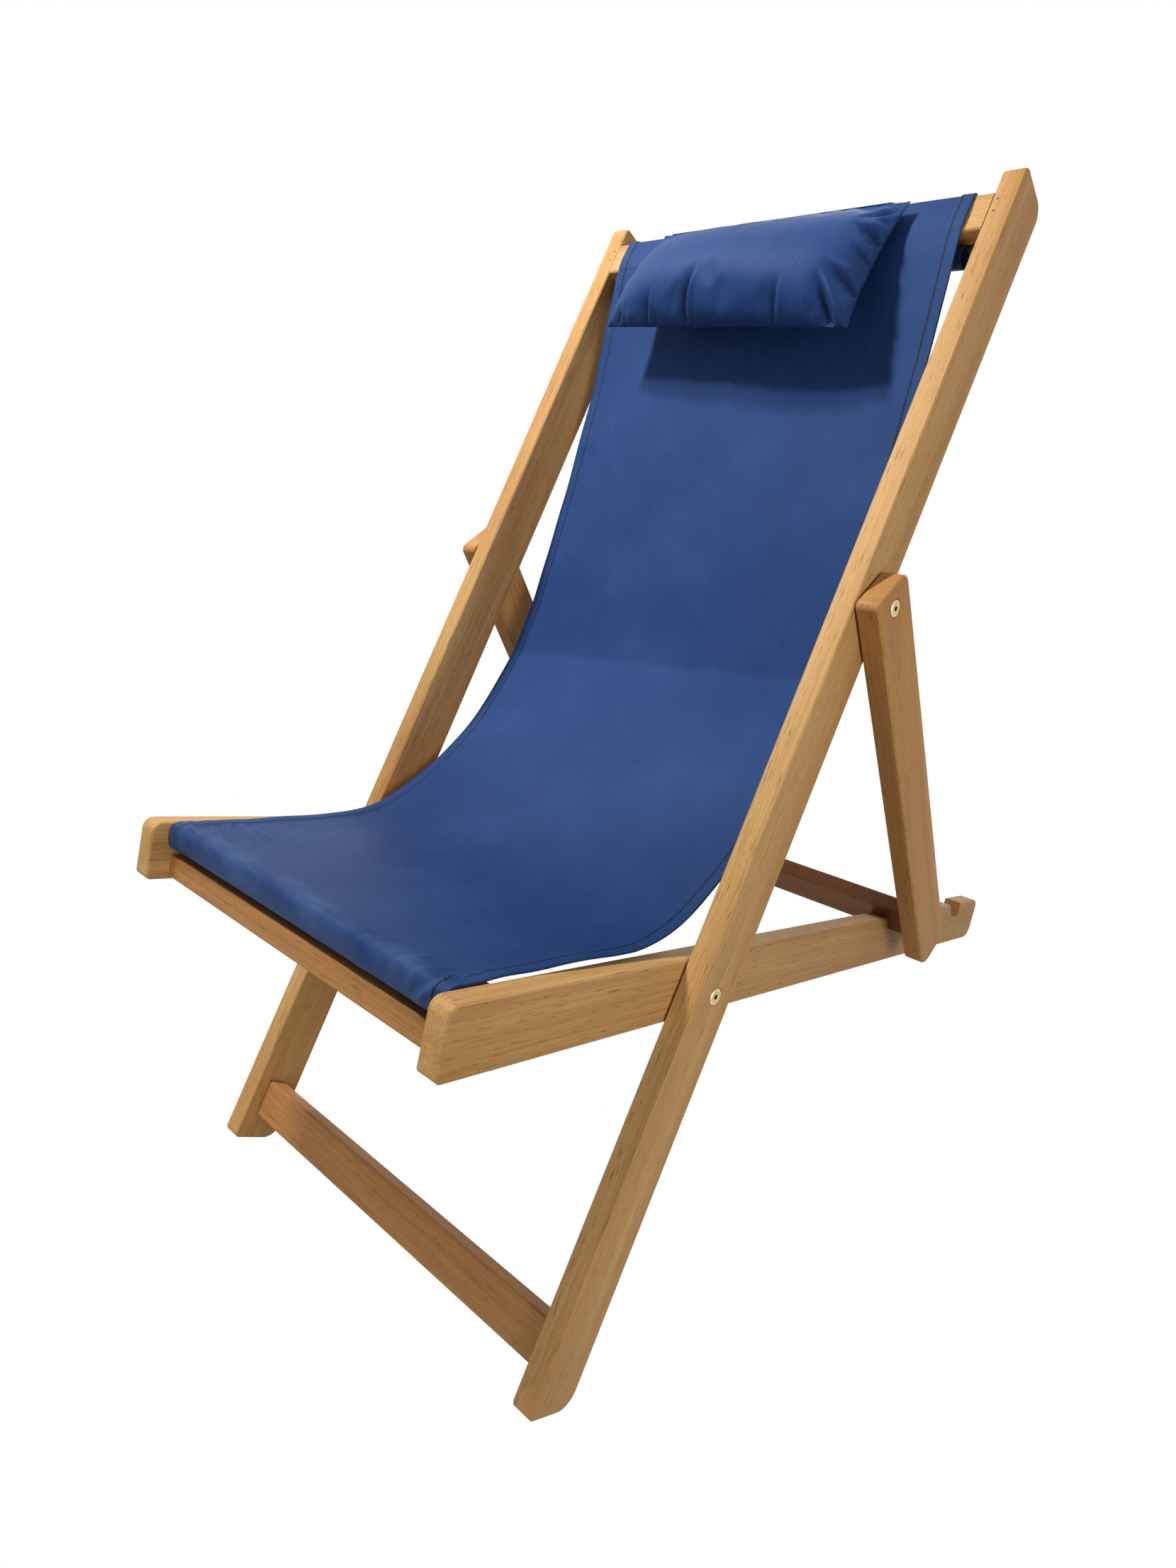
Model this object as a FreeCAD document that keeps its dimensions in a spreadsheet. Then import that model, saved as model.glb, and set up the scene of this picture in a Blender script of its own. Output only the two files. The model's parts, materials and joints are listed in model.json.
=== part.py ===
import FreeCAD, Part
import math
import os
import Sketcher

# A folding deck chair with a canvas sling and a small head pillow.
# X runs across the chair, the sitter faces -Y and Z is up.
# The origin is on the floor, at the middle of the chair's plan.

ACROSS = FreeCAD.Vector(1, 0, 0)
TOLERANCE = 0.01
UPRIGHT = 0.99

# name: (value in mm or degrees, what it measures)
DRIVING = {
    "board_depth": (63.0, "depth of rails and struts"),
    "board_thick": (25.0, "thickness of rails and struts"),
    "eased": (1.6, "bevel along the boards' long edges"),
    "layer_gap": (1.5, "washer gap between boards that pivot"),
    "frame_half": (280.0, "from the middle to the long rails' outer faces"),
    "back_angle": (50.78, "long rails above the floor"),
    "strut_angle": (69.28, "struts above the floor"),
    "long_rail": (1313.0, "length of a long rail"),
    "foot_front": (7.0, "rounding of the foot's front corner"),
    "foot_rear": (20.0, "rounding of the foot's rear corner"),
    "head_front": (6.0, "rounding of the rail top's front corner"),
    "head_rear": (17.0, "rounding of the rail top's rear corner"),
    "worn": (0.5, "how much the floor has worn from the feet's round corners"),
    "seat_pivot_at": (417.0, "foot end to seat pivot"),
    "prop_pivot_at": (835.0, "foot end to prop pivot"),
    "seat_rail": (1131.0, "length of a seat rail"),
    "seat_pivot_on_seat": (322.5, "seat rail's front end to the pivot"),
    "seat_nose_top": (11.0, "rounding of the seat rail's front top corner"),
    "seat_nose_low": (6.0, "rounding of the seat rail's front lower corner"),
    "seat_tail_top": (13.0, "rounding of the seat rail's rear top corner"),
    "seat_tail_low": (20.0, "rounding of the seat rail's rear lower corner"),
    "strut": (575.0, "length of a strut"),
    "prop_pivot_on_strut": (23.0, "strut's top end to the pivot"),
    "strut_top_front": (8.0, "rounding of the strut's top front corner"),
    "strut_top_rear": (10.0, "rounding of the strut's top rear corner"),
    "strut_low_front": (17.0, "rounding of the strut's lower front corner"),
    "strut_low_rear": (21.0, "rounding of the strut's lower rear corner"),
    "bar_from_top": (501.7, "strut's top end to the cross bar"),
    "bar_wide": (44.2, "cross bar along the strut"),
    "bar_thick": (25.0, "cross bar through the strut's depth"),
    "bar_setback": (19.0, "strut's front edge to the cross bar"),
    "bar_round": (3.0, "rounding of the cross bar's edges"),
    "notch_at": (771.8, "seat rail's front end to the first notch"),
    "notch_pitch": (118.0, "from notch to notch"),
    "notch_count": (3.0, "notches in a seat rail"),
    "notch_depth": (20.5, "depth of a notch"),
    "notch_mouth": (46.0, "width of a notch at the rail's top edge"),
    "notch_round": (4.0, "rounding at the bottom of a notch"),
    "slat_thick": (22.0, "thickness of the slats"),
    "slat_wide": (43.3, "width of the two top slats"),
    "slat_round": (3.0, "rounding of the slats' edges"),
    "slat_from_end": (27.7, "long rail's top end to the top slats"),
    "slit": (8.0, "slit between the top slats"),
    "stretcher_at": (32.0, "foot end to the bottom stretcher"),
    "stretcher_wide": (46.0, "width of the bottom stretcher"),
    "stretcher_setback": (16.0, "rail's front edge to the stretcher"),
    "upper_bar_at": (21.0, "seat rail's front end to the upper bar"),
    "upper_bar_wide": (45.0, "width of the upper bar"),
    "upper_bar_thick": (25.0, "thickness of the upper bar"),
    "upper_bar_setback": (2.0, "rail's top edge to the upper bar"),
    "upper_bar_round": (8.0, "rounding of the upper bar's front edges"),
    "lower_slat_at": (23.7, "seat rail's front end to the lower slat"),
    "lower_slat_wide": (45.0, "width of the lower slat"),
    "lower_slat_thick": (25.0, "thickness of the lower slat"),
    "lower_slat_setback": (35.0, "rail's top edge to the lower slat"),
    "tenon_long": (12.0, "length of a stub tenon"),
    "tenon_shoulder": (6.0, "shoulder around a tenon"),
    "mortise_spare": (0.5, "air at the end of a tenon"),
    "barrel": (4.5, "radius of a sleeve nut's barrel"),
    "running_gap": (0.05, "play between a barrel and its hole"),
    "bolt_shank": (3.0, "radius of a bolt's shank"),
    "head_radius": (8.75, "radius of a bolt or nut head"),
    "head_thick": (2.4, "thickness of a bolt or nut head"),
    "head_bevel": (0.6, "bevel of a head's rim"),
    "recess_radius": (9.75, "radius of the recess around a head"),
    "recess_deep": (2.0, "depth of the recess around a head"),
    "socket": (2.5, "half width of the hexagon socket"),
    "socket_deep": (1.8, "depth of the hexagon socket"),
    "insert_radius": (5.0, "radius of a prop pivot's threaded insert"),
    "insert_long": (18.0, "length of a threaded insert, blind in the long rail"),
    "washer_radius": (10.0, "radius of a washer"),
    "washer_play": (0.05, "air on each side of a washer"),
    "brad_radius": (1.2, "radius of a brad's head"),
    "slat_brad_high": (9.0, "top slats' upper edge to the upper brad"),
    "slat_brad_low": (23.0, "top slats' upper edge to the lower brad"),
    "bar_brad_high": (15.8, "cross bar's upper edge to the upper brad"),
    "bar_brad_low": (28.5, "cross bar's upper edge to the lower brad"),
    "brad_long": (14.0, "length of a brad"),
    "brad_proud": (0.3, "how far a brad stands out"),
    "dowel": (9.0, "radius of a hem dowel"),
    "dowel_long": (446.0, "length of a hem dowel"),
    "top_dowel_drop": (10.8, "top dowel's axis below the top slats"),
    "seat_dowel_back": (11.6, "seat dowel's axis behind the lower slat"),
    "cloth": (1.2, "thickness of the canvas"),
    "cloth_gap": (0.3, "air between canvas and wood"),
    "sling_half": (235.5, "half width of the sling"),
    "sling_nose_half": (227.0, "half width of the sling between the seat rails"),
    "sling_narrow_to": (75.0, "seat rail's front end to where the sling widens"),
    "sling_wide_from": (240.0, "seat rail's front end to the full width"),
    "pillow_wide": (338.0, "pillow from side to side"),
    "pillow_tall": (162.0, "pillow from seam to seam"),
    "pillow_front": (42.0, "crown of the pillow's front"),
    "pillow_back": (18.0, "crown of the pillow's back"),
    "pillow_hollow": (5.0, "how far the pillow's lower side draws in"),
    "pillow_seam": (3.0, "thickness of the pillow's seam"),
    "pillow_waist": (8.0, "how far the pillow's sides draw in"),
    "pillow_drop": (4.0, "rail top's slat edge to the pillow's top seam"),
    "pillow_off": (14.0, "rail's front edge to the pillow's top seam"),
    "pillow_tilt": (6.0, "pillow's seam plane away from the rails"),
    "flap_half": (150.0, "half width of the pillow's flap"),
    "flap_front": (12.0, "flap on the front of the top slat"),
    "flap_tail": (22.0, "flap down in the slit"),
}

# The sling's free line seen from the side, from the top slat to the seat's front:
# each run has a length and the angle that it turns through
SLING_DROP = 18.0
CLOSING_STEPS = 12
SLING_RUNS = [(230.0, -6.4), (219.0, -4.4), (172.0, -21.2), (178.0, -25.3), (91.0, -32.0)]


class Size:
    """A length that knows its value and its expression in the spreadsheet's names."""

    def __init__(self, value, text):
        self.value = value
        self.text = text

    def join(self, other, sign, result):
        text = other.text if isinstance(other, Size) else repr(float(other))
        return Size(result, f"({self.text} {sign} {text})")

    def __add__(self, other):
        return self.join(other, "+", self.value + number(other))

    def __sub__(self, other):
        return self.join(other, "-", self.value - number(other))

    def __mul__(self, other):
        return self.join(other, "*", self.value * number(other))

    def __truediv__(self, other):
        return self.join(other, "/", self.value / number(other))


def number(length):
    """The plain value of a Size or a number."""
    return length.value if isinstance(length, Size) else float(length)


NONE = Size(0.0, "0")


def fixed(value):
    """A worked-out length that no single driving size gives."""
    return Size(value, repr(value))


doc = FreeCAD.newDocument("deck_chair")
sheet = doc.addObject("Spreadsheet::Sheet", "Sizes")
for row, (name, (value, meaning)) in enumerate(DRIVING.items(), start=1):
    sheet.set(f"A{row}", meaning)
    sheet.set(f"B{row}", str(value))
    sheet.setAlias(f"B{row}", name)
doc.recompute()

size = {name: Size(float(sheet.get(name)), f"Sizes.{name}") for name in DRIVING}
mm = {name: float(sheet.get(name)) for name in DRIVING}
nodes = []


def bind(thing, prop, length):
    """Give a property its value and the expression that keeps it."""
    setattr(thing, prop, number(length))
    if isinstance(length, Size):
        thing.setExpression(prop, length.text)


def name_node(thing, label):
    """Record a finished piece under the name of its file."""
    thing.Label = label
    nodes.append(thing)
    return thing


# Sketches and features


def sketch_on(body, name, height=NONE):
    """A sketch on the body's own XY plane, lifted by a height."""
    sketch = body.newObject("Sketcher::SketchObject", name)
    plane = next(f for f in body.Origin.OriginFeatures if f.Role == "XY_Plane")
    sketch.AttachmentSupport = [(plane, "")]
    sketch.MapMode = "FlatFace"
    sketch.AttachmentOffset = FreeCAD.Placement(
        FreeCAD.Vector(0, 0, number(height)), FreeCAD.Rotation()
    )
    sketch.setExpression(".AttachmentOffset.Base.z", height.text)
    return sketch


def hold(sketch, kind, parts, length, name):
    """Add one sized constraint and tie it to the spreadsheet."""
    index = sketch.addConstraint(Sketcher.Constraint(kind, *parts, number(length)))
    sketch.renameConstraint(index, name)
    sketch.setExpression(f"Constraints.{name}", length.text)


def outline(sketch, corners):
    """Closed straight outline; each corner is held at its distance from the origin."""
    points = [FreeCAD.Vector(number(x), number(y), 0) for x, y in corners]
    count = len(points)
    for i in range(count):
        sketch.addGeometry(Part.LineSegment(points[i], points[(i + 1) % count]), False)
    for i in range(count):
        sketch.addConstraint(Sketcher.Constraint("Coincident", i, 2, (i + 1) % count, 1))
    for i, (x, y) in enumerate(corners):
        for kind, along, axis in (("DistanceX", x, "x"), ("DistanceY", y, "y")):
            if number(along) == 0:
                pair = Sketcher.Constraint("PointOnObject", i, 1, -2 if axis == "x" else -1)
                sketch.addConstraint(pair)
            else:
                hold(sketch, kind, (-1, 1, i, 1), along, f"{axis}{i}")


def box_outline(sketch, x, y, length, depth):
    outline(sketch, [(x, y), (x + length, y), (x + length, y + depth), (x, y + depth)])


def circle(sketch, x, y, radius):
    centre = FreeCAD.Vector(number(x), number(y), 0)
    sketch.addGeometry(Part.Circle(centre, FreeCAD.Vector(0, 0, 1), number(radius)), False)
    hold(sketch, "DistanceX", (-1, 1, 0, 3), x, "x")
    hold(sketch, "DistanceY", (-1, 1, 0, 3), y, "y")
    hold(sketch, "Radius", (0,), radius, "radius")


def pad(body, sketch, length):
    feature = body.newObject("PartDesign::Pad", "Pad")
    feature.Profile = sketch
    bind(feature, "Length", length)
    sketch.Visibility = False
    doc.recompute()
    return feature


def pocket(body, sketch, upwards):
    """Cut through everything on one side of the sketch; the cut has to take wood away."""
    before = body.Tip.Shape.Volume
    feature = body.newObject("PartDesign::Pocket", "Pocket")
    feature.Profile = sketch
    feature.Type = "ThroughAll"
    feature.Reversed = upwards
    doc.recompute()
    if feature.Shape.Volume > before - TOLERANCE:
        raise RuntimeError(f"a pocket in {body.Label} cut nothing")
    return feature


def fillet(body, edges, radius):
    base = body.Tip
    feature = body.newObject("PartDesign::Fillet", "Fillet")
    feature.Base = (base, edges)
    bind(feature, "Radius", radius)
    doc.recompute()
    return feature


def edges_where(shape, test):
    """Names of the edges whose two ends both pass the test."""
    return [
        f"Edge{i}"
        for i, edge in enumerate(shape.Edges, start=1)
        if edge.Vertexes and all(test(vertex.Point) for vertex in edge.Vertexes)
    ]


def round_corners(body, corners):
    """Round the upright edges of a board that stand at the given corners."""
    for x, y, radius in corners:
        spot = FreeCAD.Vector(number(x), number(y), 0)

        def stands_here(point):
            return math.hypot(point.x - spot.x, point.y - spot.y) < TOLERANCE

        fillet(body, edges_where(body.Tip.Shape, stands_here), radius)


def ease_rims(body, thick):
    """Bevel the edges of both broad faces."""
    rims = []
    for level in (0.0, number(thick)):
        rims += edges_where(body.Tip.Shape, lambda point: abs(point.z - level) < TOLERANCE)
    base = body.Tip
    bevel = body.newObject("PartDesign::Chamfer", "Bevel")
    bevel.Base = (base, rims)
    bind(bevel, "Size", size["eased"])
    doc.recompute()


# Boards: x along the board from its first end, y from its front or top edge, z through it


def board(label, length, corners):
    body = doc.addObject("PartDesign::Body", label)
    depth = size["board_depth"]
    thick = size["board_thick"]
    face = sketch_on(body, "Face")
    box_outline(face, NONE, NONE, length, depth)
    pad(body, face, thick)
    places = [(NONE, NONE), (length, NONE), (NONE, depth), (length, depth)]
    round_corners(body, [(x, y, size[name]) for (x, y), name in zip(places, corners)])
    ease_rims(body, thick)
    return name_node(body, label)


def sink(body, draw, depth, from_top, name):
    """Cut a blind recess, as deep as given, into one of a board's broad faces."""
    level = size["board_thick"] - depth if from_top else depth
    floor = sketch_on(body, name, level)
    draw(floor)
    pocket(body, floor, from_top)


def pivot_hole(body, x, recess_on_top, pin):
    """A hole for a pin of the given radius, with a recess for a fastener's head."""
    middle = size["board_depth"] / 2
    hole = sketch_on(body, "PivotHole")
    circle(hole, x, middle, pin + size["running_gap"])
    pocket(body, hole, True)
    sink(
        body,
        lambda floor: circle(floor, x, middle, size["recess_radius"]),
        size["recess_deep"],
        recess_on_top,
        "Recess",
    )


def insert_hole(body, x, from_top):
    """A blind hole for a threaded insert, with air behind it for the bolt's end."""
    middle = size["board_depth"] / 2
    radius = size["insert_radius"] + size["running_gap"]
    deep = size["insert_long"] + size["mortise_spare"]
    sink(body, lambda floor: circle(floor, x, middle, radius), deep, from_top, "InsertHole")


def mortise(body, x, y, length, depth, from_top):
    """A mortise for the stub tenon of a slat whose end covers the given rectangle."""
    edge = size["tenon_shoulder"]

    def draw(floor):
        box_outline(floor, x + edge, y + edge, length - edge * 2, depth - edge * 2)

    sink(body, draw, size["tenon_long"] + size["mortise_spare"], from_top, "Mortise")


def slat(label, x, y, length, depth, span, front_round, back_round):
    """A cross piece with a stub tenon at each end; its section lies in the boards' x and y."""
    body = doc.addObject("PartDesign::Body", label)
    edge = size["tenon_shoulder"]
    section = sketch_on(body, "Section")
    box_outline(section, x, y, length, depth)
    pad(body, section, span)
    near = [(x, y, front_round), (x, y + depth, front_round)]
    far = [(x + length, y, back_round), (x + length, y + depth, back_round)]
    round_corners(body, near + far)
    tenon = sketch_on(body, "Tenon", size["tenon_long"] * -1)
    box_outline(tenon, x + edge, y + edge, length - edge * 2, depth - edge * 2)
    pad(body, tenon, span + size["tenon_long"] * 2)
    return name_node(body, label)


# The slats' places along and through the boards that carry them

thick = size["board_thick"]
top_slat_x = size["long_rail"] - size["slat_from_end"] - size["slat_wide"]
top_rear_y = size["slat_thick"] + size["slit"]
LONG_RAIL_SLATS = {
    "top_front_slat": (top_slat_x, NONE, size["slat_wide"], size["slat_thick"]),
    "top_rear_slat": (top_slat_x, top_rear_y, size["slat_wide"], size["slat_thick"]),
    "bottom_stretcher": (
        size["stretcher_at"],
        size["stretcher_setback"],
        size["stretcher_wide"],
        size["slat_thick"],
    ),
}
SEAT_RAIL_SLATS = {
    "seat_upper_bar": (
        size["upper_bar_at"],
        size["upper_bar_setback"],
        size["upper_bar_wide"],
        size["upper_bar_thick"],
    ),
    "seat_lower_slat": (
        size["lower_slat_at"],
        size["lower_slat_setback"],
        size["lower_slat_wide"],
        size["lower_slat_thick"],
    ),
}
PROP_BAR = (size["bar_from_top"], size["bar_setback"], size["bar_wide"], size["bar_thick"])

seat_outer = size["frame_half"] - thick - size["layer_gap"]
strut_inner = size["frame_half"] + size["layer_gap"]
long_span = (size["frame_half"] - thick) * 2
seat_span = (seat_outer - thick) * 2
prop_span = strut_inner * 2


# Where the boards stand


def tilted(along, across, origin):
    """Placement whose x and y axes are two unit vectors in the side view's (y, z)."""
    x_axis = FreeCAD.Vector(0, *along)
    y_axis = FreeCAD.Vector(0, *across)
    turn = FreeCAD.Rotation(x_axis, y_axis, x_axis.cross(y_axis), "ZXY")
    return FreeCAD.Placement(FreeCAD.Vector(0, *origin), turn)


def at_x(placement, x):
    """The same placement moved along X."""
    moved = placement.copy()
    moved.Base.x = x
    return moved


back = math.radians(mm["back_angle"])
prop = math.radians(mm["strut_angle"])
middle = mm["board_depth"] / 2

# The long rails stand on the round of their rear foot corner
heel = mm["foot_rear"]
worn = mm["worn"]
foot_z = heel - worn + (mm["board_depth"] - heel) * math.cos(back) - heel * math.sin(back)
rail_frame = tilted(
    (math.cos(back), math.sin(back)), (math.sin(back), -math.cos(back)), (0.0, foot_z)
)
seat_pivot = rail_frame.multVec(FreeCAD.Vector(mm["seat_pivot_at"], middle, 0))
prop_pivot = rail_frame.multVec(FreeCAD.Vector(mm["prop_pivot_at"], middle, 0))

# The seat rails lean as far as their rear corners need to reach the floor
tail = mm["seat_tail_low"]
reach = mm["seat_rail"] - tail - mm["seat_pivot_on_seat"]
drop = mm["board_depth"] - tail - middle
pivot_above_round = seat_pivot.z - tail + worn
seat = math.asin(pivot_above_round / math.hypot(reach, drop)) - math.atan2(drop, reach)


def from_pivot(along, across, pivot, distance):
    """Placement of a board whose pivot is a given distance from its first end."""
    frame = tilted(along, across, (0.0, 0.0))
    offset = frame.multVec(FreeCAD.Vector(distance, middle, 0))
    frame.Base = FreeCAD.Vector(0, pivot.y - offset.y, pivot.z - offset.z)
    return frame


seat_frame = from_pivot(
    (math.cos(seat), -math.sin(seat)),
    (-math.sin(seat), -math.cos(seat)),
    seat_pivot,
    mm["seat_pivot_on_seat"],
)
strut_frame = from_pivot(
    (math.cos(prop), -math.sin(prop)),
    (math.sin(prop), math.cos(prop)),
    prop_pivot,
    mm["prop_pivot_on_strut"],
)


# Rails, struts and slats


def notch(body):
    """A row of notches in the top edge: the front wall slants, the rear wall is square."""
    face = sketch_on(body, "Notch")
    start = size["notch_at"]
    end = start + size["notch_mouth"]
    deep = size["notch_depth"]
    above = size["board_depth"] * -1
    outline(face, [(start, NONE), (start + deep, deep), (end, deep), (end, above), (start, above)])
    cut = pocket(body, face, True)
    row = body.newObject("PartDesign::LinearPattern", "Notches")
    row.Originals = [cut]
    row.Direction = (face, ["H_Axis"])
    bind(row, "Length", size["notch_pitch"] * (size["notch_count"] - 1))
    row.Occurrences = int(mm["notch_count"])
    row.setExpression("Occurrences", size["notch_count"].text)
    body.Tip = row
    doc.recompute()

    def at_bottom(point):
        return abs(point.y - mm["notch_depth"]) < TOLERANCE

    upright = [
        name
        for name in edges_where(body.Tip.Shape, at_bottom)
        if abs(body.Tip.Shape.getElement(name).tangentAt(0).z) > UPRIGHT
    ]
    fillet(body, upright, size["notch_round"])


def wear_flat(body, x, radius, down_x, down_y):
    """Take the round corner that stands on the floor down to a flat."""
    level = number(radius) - worn
    middle_x = number(x) + level * down_x
    middle_y = mm["board_depth"] - number(radius) + level * down_y
    corners = []
    for along, below in ((-1, 0), (-1, 1), (1, 1), (1, 0)):
        side_x = -down_y * along * number(radius) / 2
        side_y = down_x * along * number(radius) / 2
        x_at = middle_x + side_x + below * down_x * number(radius)
        y_at = middle_y + side_y + below * down_y * number(radius)
        corners.append((fixed(x_at), fixed(y_at)))
    face = sketch_on(body, "Floor")
    outline(face, corners)
    pocket(body, face, True)


LONG_CORNERS = ["foot_front", "head_front", "foot_rear", "head_rear"]
SEAT_CORNERS = ["seat_nose_top", "seat_tail_top", "seat_nose_low", "seat_tail_low"]
STRUT_CORNERS = ["strut_top_front", "strut_low_front", "strut_top_rear", "strut_low_rear"]

for side, word in ((1, "right"), (-1, "left")):
    right = side > 0
    rail = board(f"long_rail_{word}", size["long_rail"], LONG_CORNERS)
    pivot_hole(rail, size["seat_pivot_at"], not right, size["barrel"])
    insert_hole(rail, size["prop_pivot_at"], not right)
    for place in LONG_RAIL_SLATS.values():
        mortise(rail, *place, right)
    wear_flat(rail, size["foot_rear"], size["foot_rear"], -math.sin(back), math.cos(back))
    outer = mm["frame_half"]
    rail.Placement = at_x(rail_frame, outer if right else mm["board_thick"] - outer)

    rail = board(f"seat_rail_{word}", size["seat_rail"], SEAT_CORNERS)
    notch(rail)
    pivot_hole(rail, size["seat_pivot_on_seat"], right, size["barrel"])
    for place in SEAT_RAIL_SLATS.values():
        mortise(rail, *place, right)
    tail_x = size["seat_rail"] - size["seat_tail_low"]
    wear_flat(rail, tail_x, size["seat_tail_low"], math.sin(seat), math.cos(seat))
    outer = number(seat_outer)
    rail.Placement = at_x(seat_frame, outer if right else mm["board_thick"] - outer)

    strut = board(f"strut_{word}", size["strut"], STRUT_CORNERS)
    pivot_hole(strut, size["prop_pivot_on_strut"], right, size["bolt_shank"])
    mortise(strut, *PROP_BAR, not right)
    inner = number(strut_inner)
    strut.Placement = at_x(strut_frame, inner if right else -inner - mm["board_thick"])

for label, place in LONG_RAIL_SLATS.items():
    piece = slat(label, *place, long_span, size["slat_round"], size["slat_round"])
    piece.Placement = at_x(rail_frame, number(long_span) / 2)

for label, place in SEAT_RAIL_SLATS.items():
    nose = size["upper_bar_round"] if label == "seat_upper_bar" else size["slat_round"]
    piece = slat(label, *place, seat_span, nose, size["slat_round"])
    piece.Placement = at_x(seat_frame, number(seat_span) / 2)

piece = slat("prop_cross_bar", *PROP_BAR, prop_span, size["bar_round"], size["bar_round"])
piece.Placement = at_x(strut_frame, -number(prop_span) / 2)


# Bolts, sleeve nuts, inserts, washers, brads and dowels


def cylinder(radius, length, start=0.0):
    """A cylinder along X; start is where its first end stands."""
    rod = doc.addObject("Part::Cylinder", "Rod")
    bind(rod, "Radius", radius)
    bind(rod, "Height", length)
    rod.Placement = FreeCAD.Placement(
        FreeCAD.Vector(start, 0, 0), FreeCAD.Rotation(FreeCAD.Vector(0, 1, 0), 90)
    )
    return rod


def combine(kind, first, second):
    joined = doc.addObject(f"Part::{kind}", kind)
    joined.Base = first
    joined.Tool = second
    doc.recompute()
    return joined


def bevelled_head():
    """A flat round head whose outer rim is bevelled; its back is at x = 0."""
    disc = cylinder(size["head_radius"], size["head_thick"])
    doc.recompute()
    rims = [
        i
        for i, edge in enumerate(disc.Shape.Edges, start=1)
        if abs(edge.CenterOfMass.x - mm["head_thick"]) < TOLERANCE
    ]
    head = doc.addObject("Part::Chamfer", "Head")
    head.Base = disc
    head.Edges = [(i, mm["head_bevel"], mm["head_bevel"]) for i in rims]
    doc.recompute()
    return head


def hexagon(half_width, deep, end):
    """A hexagon socket along X that ends at the given x."""
    prism = doc.addObject("Part::Prism", "Socket")
    prism.Polygon = 6
    bind(prism, "Circumradius", half_width / math.cos(math.pi / 6))
    bind(prism, "Height", deep * 2)
    prism.Placement = FreeCAD.Placement(
        FreeCAD.Vector(end - number(deep), 0, 0),
        FreeCAD.Rotation(FreeCAD.Vector(0, 1, 0), 90),
    )
    return prism


def outward(side, x, pivot):
    """Placement that turns a fastener's +X away from the chair's middle."""
    turn = FreeCAD.Rotation(FreeCAD.Vector(0, 0, 1), 0 if side > 0 else 180)
    return FreeCAD.Placement(FreeCAD.Vector(side * x, pivot.y, pivot.z), turn)


def grouped(label, pieces):
    """Separate solids of one kind that share a node."""
    group = doc.addObject("Part::Compound", label)
    group.Links = pieces
    doc.recompute()
    return name_node(group, label)


def placed(piece, placement):
    piece.Placement = placement
    return piece


def bolt(reach):
    shank = cylinder(size["bolt_shank"], reach, -reach)
    blank = combine("Fuse", bevelled_head(), shank)
    socket = hexagon(size["socket"], size["socket_deep"], mm["head_thick"])
    return combine("Cut", blank, socket)


def sleeve_nut(grip):
    barrel = cylinder(size["barrel"], grip, -grip)
    thread = cylinder(size["bolt_shank"] + size["running_gap"], grip, -grip)
    return combine("Cut", combine("Fuse", bevelled_head(), barrel), thread)


def insert():
    """A threaded insert whose outer end is at x = 0."""
    long = size["insert_long"]
    blank = cylinder(size["insert_radius"], long, -number(long))
    thread = cylinder(size["bolt_shank"] + size["running_gap"], long, -number(long))
    return combine("Cut", blank, thread)


def washer(pin):
    ring = cylinder(size["washer_radius"], size["layer_gap"] - size["washer_play"] * 2)
    bore = cylinder(pin + size["running_gap"], size["layer_gap"])
    return combine("Cut", ring, bore)


def pair(label, make, x, pivot, towards=1):
    """A fastener on each side, x from the chair's middle; towards is -1 where it faces inwards."""
    sides = (1, -1)
    pieces = [placed(make(), outward(towards * side, towards * x, pivot)) for side in sides]
    grouped(label, pieces)


half = mm["frame_half"]
board_thick = mm["board_thick"]
play = mm["washer_play"]

# Seat pivot: a bolt from outside meets a sleeve nut from inside, and both boards
# turn on the nut's barrel
seat_head = half - mm["recess_deep"]
seat_nut = number(seat_outer) - board_thick + mm["recess_deep"]
pair("seat_pivot_bolts", lambda: bolt(board_thick), seat_head, seat_pivot)
pair("seat_sleeve_nuts", lambda: sleeve_nut(seat_head - seat_nut), seat_nut, seat_pivot, -1)
pair("seat_washers", lambda: washer(size["barrel"]), number(seat_outer) + play, seat_pivot)

# Prop pivot: a longer bolt goes through the strut into an insert, so the long
# rail's inner face stays plain
strut_outer = number(strut_inner) + board_thick
prop_head = strut_outer - mm["recess_deep"]
prop_reach = prop_head - half + mm["insert_long"]
pair("prop_pivot_bolts", lambda: bolt(prop_reach), prop_head, prop_pivot)
pair("prop_inserts", insert, half, prop_pivot)
pair("prop_washers", lambda: washer(size["bolt_shank"]), half + play, prop_pivot)


def brads(label, frame, inset, places, depth_in):
    """Brads driven into the tenons through the front edges of a pair of boards."""
    pins = []
    for x in (inset, -inset):
        for along in places:
            pin = doc.addObject("Part::Cylinder", "Brad")
            bind(pin, "Radius", size["brad_radius"])
            bind(pin, "Height", size["brad_long"])
            turn = FreeCAD.Rotation(FreeCAD.Vector(0, 0, 1), FreeCAD.Vector(0, 1, 0))
            pin.Placement = FreeCAD.Placement(FreeCAD.Vector(along, depth_in, x), turn)
            pins.append(pin)
    grouped(label, pins).Placement = frame


slat_edge = mm["long_rail"] - mm["slat_from_end"]
top_brads = [slat_edge - mm[name] for name in ("slat_brad_high", "slat_brad_low")]
bar_brads = [mm["bar_from_top"] + mm[name] for name in ("bar_brad_high", "bar_brad_low")]
into_tenon = mm["tenon_long"] / 2
brads("slat_brads", rail_frame, half - board_thick + into_tenon, top_brads, -mm["brad_proud"])
brads("prop_brads", strut_frame, number(strut_inner) + into_tenon, bar_brads, -mm["brad_proud"])


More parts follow.
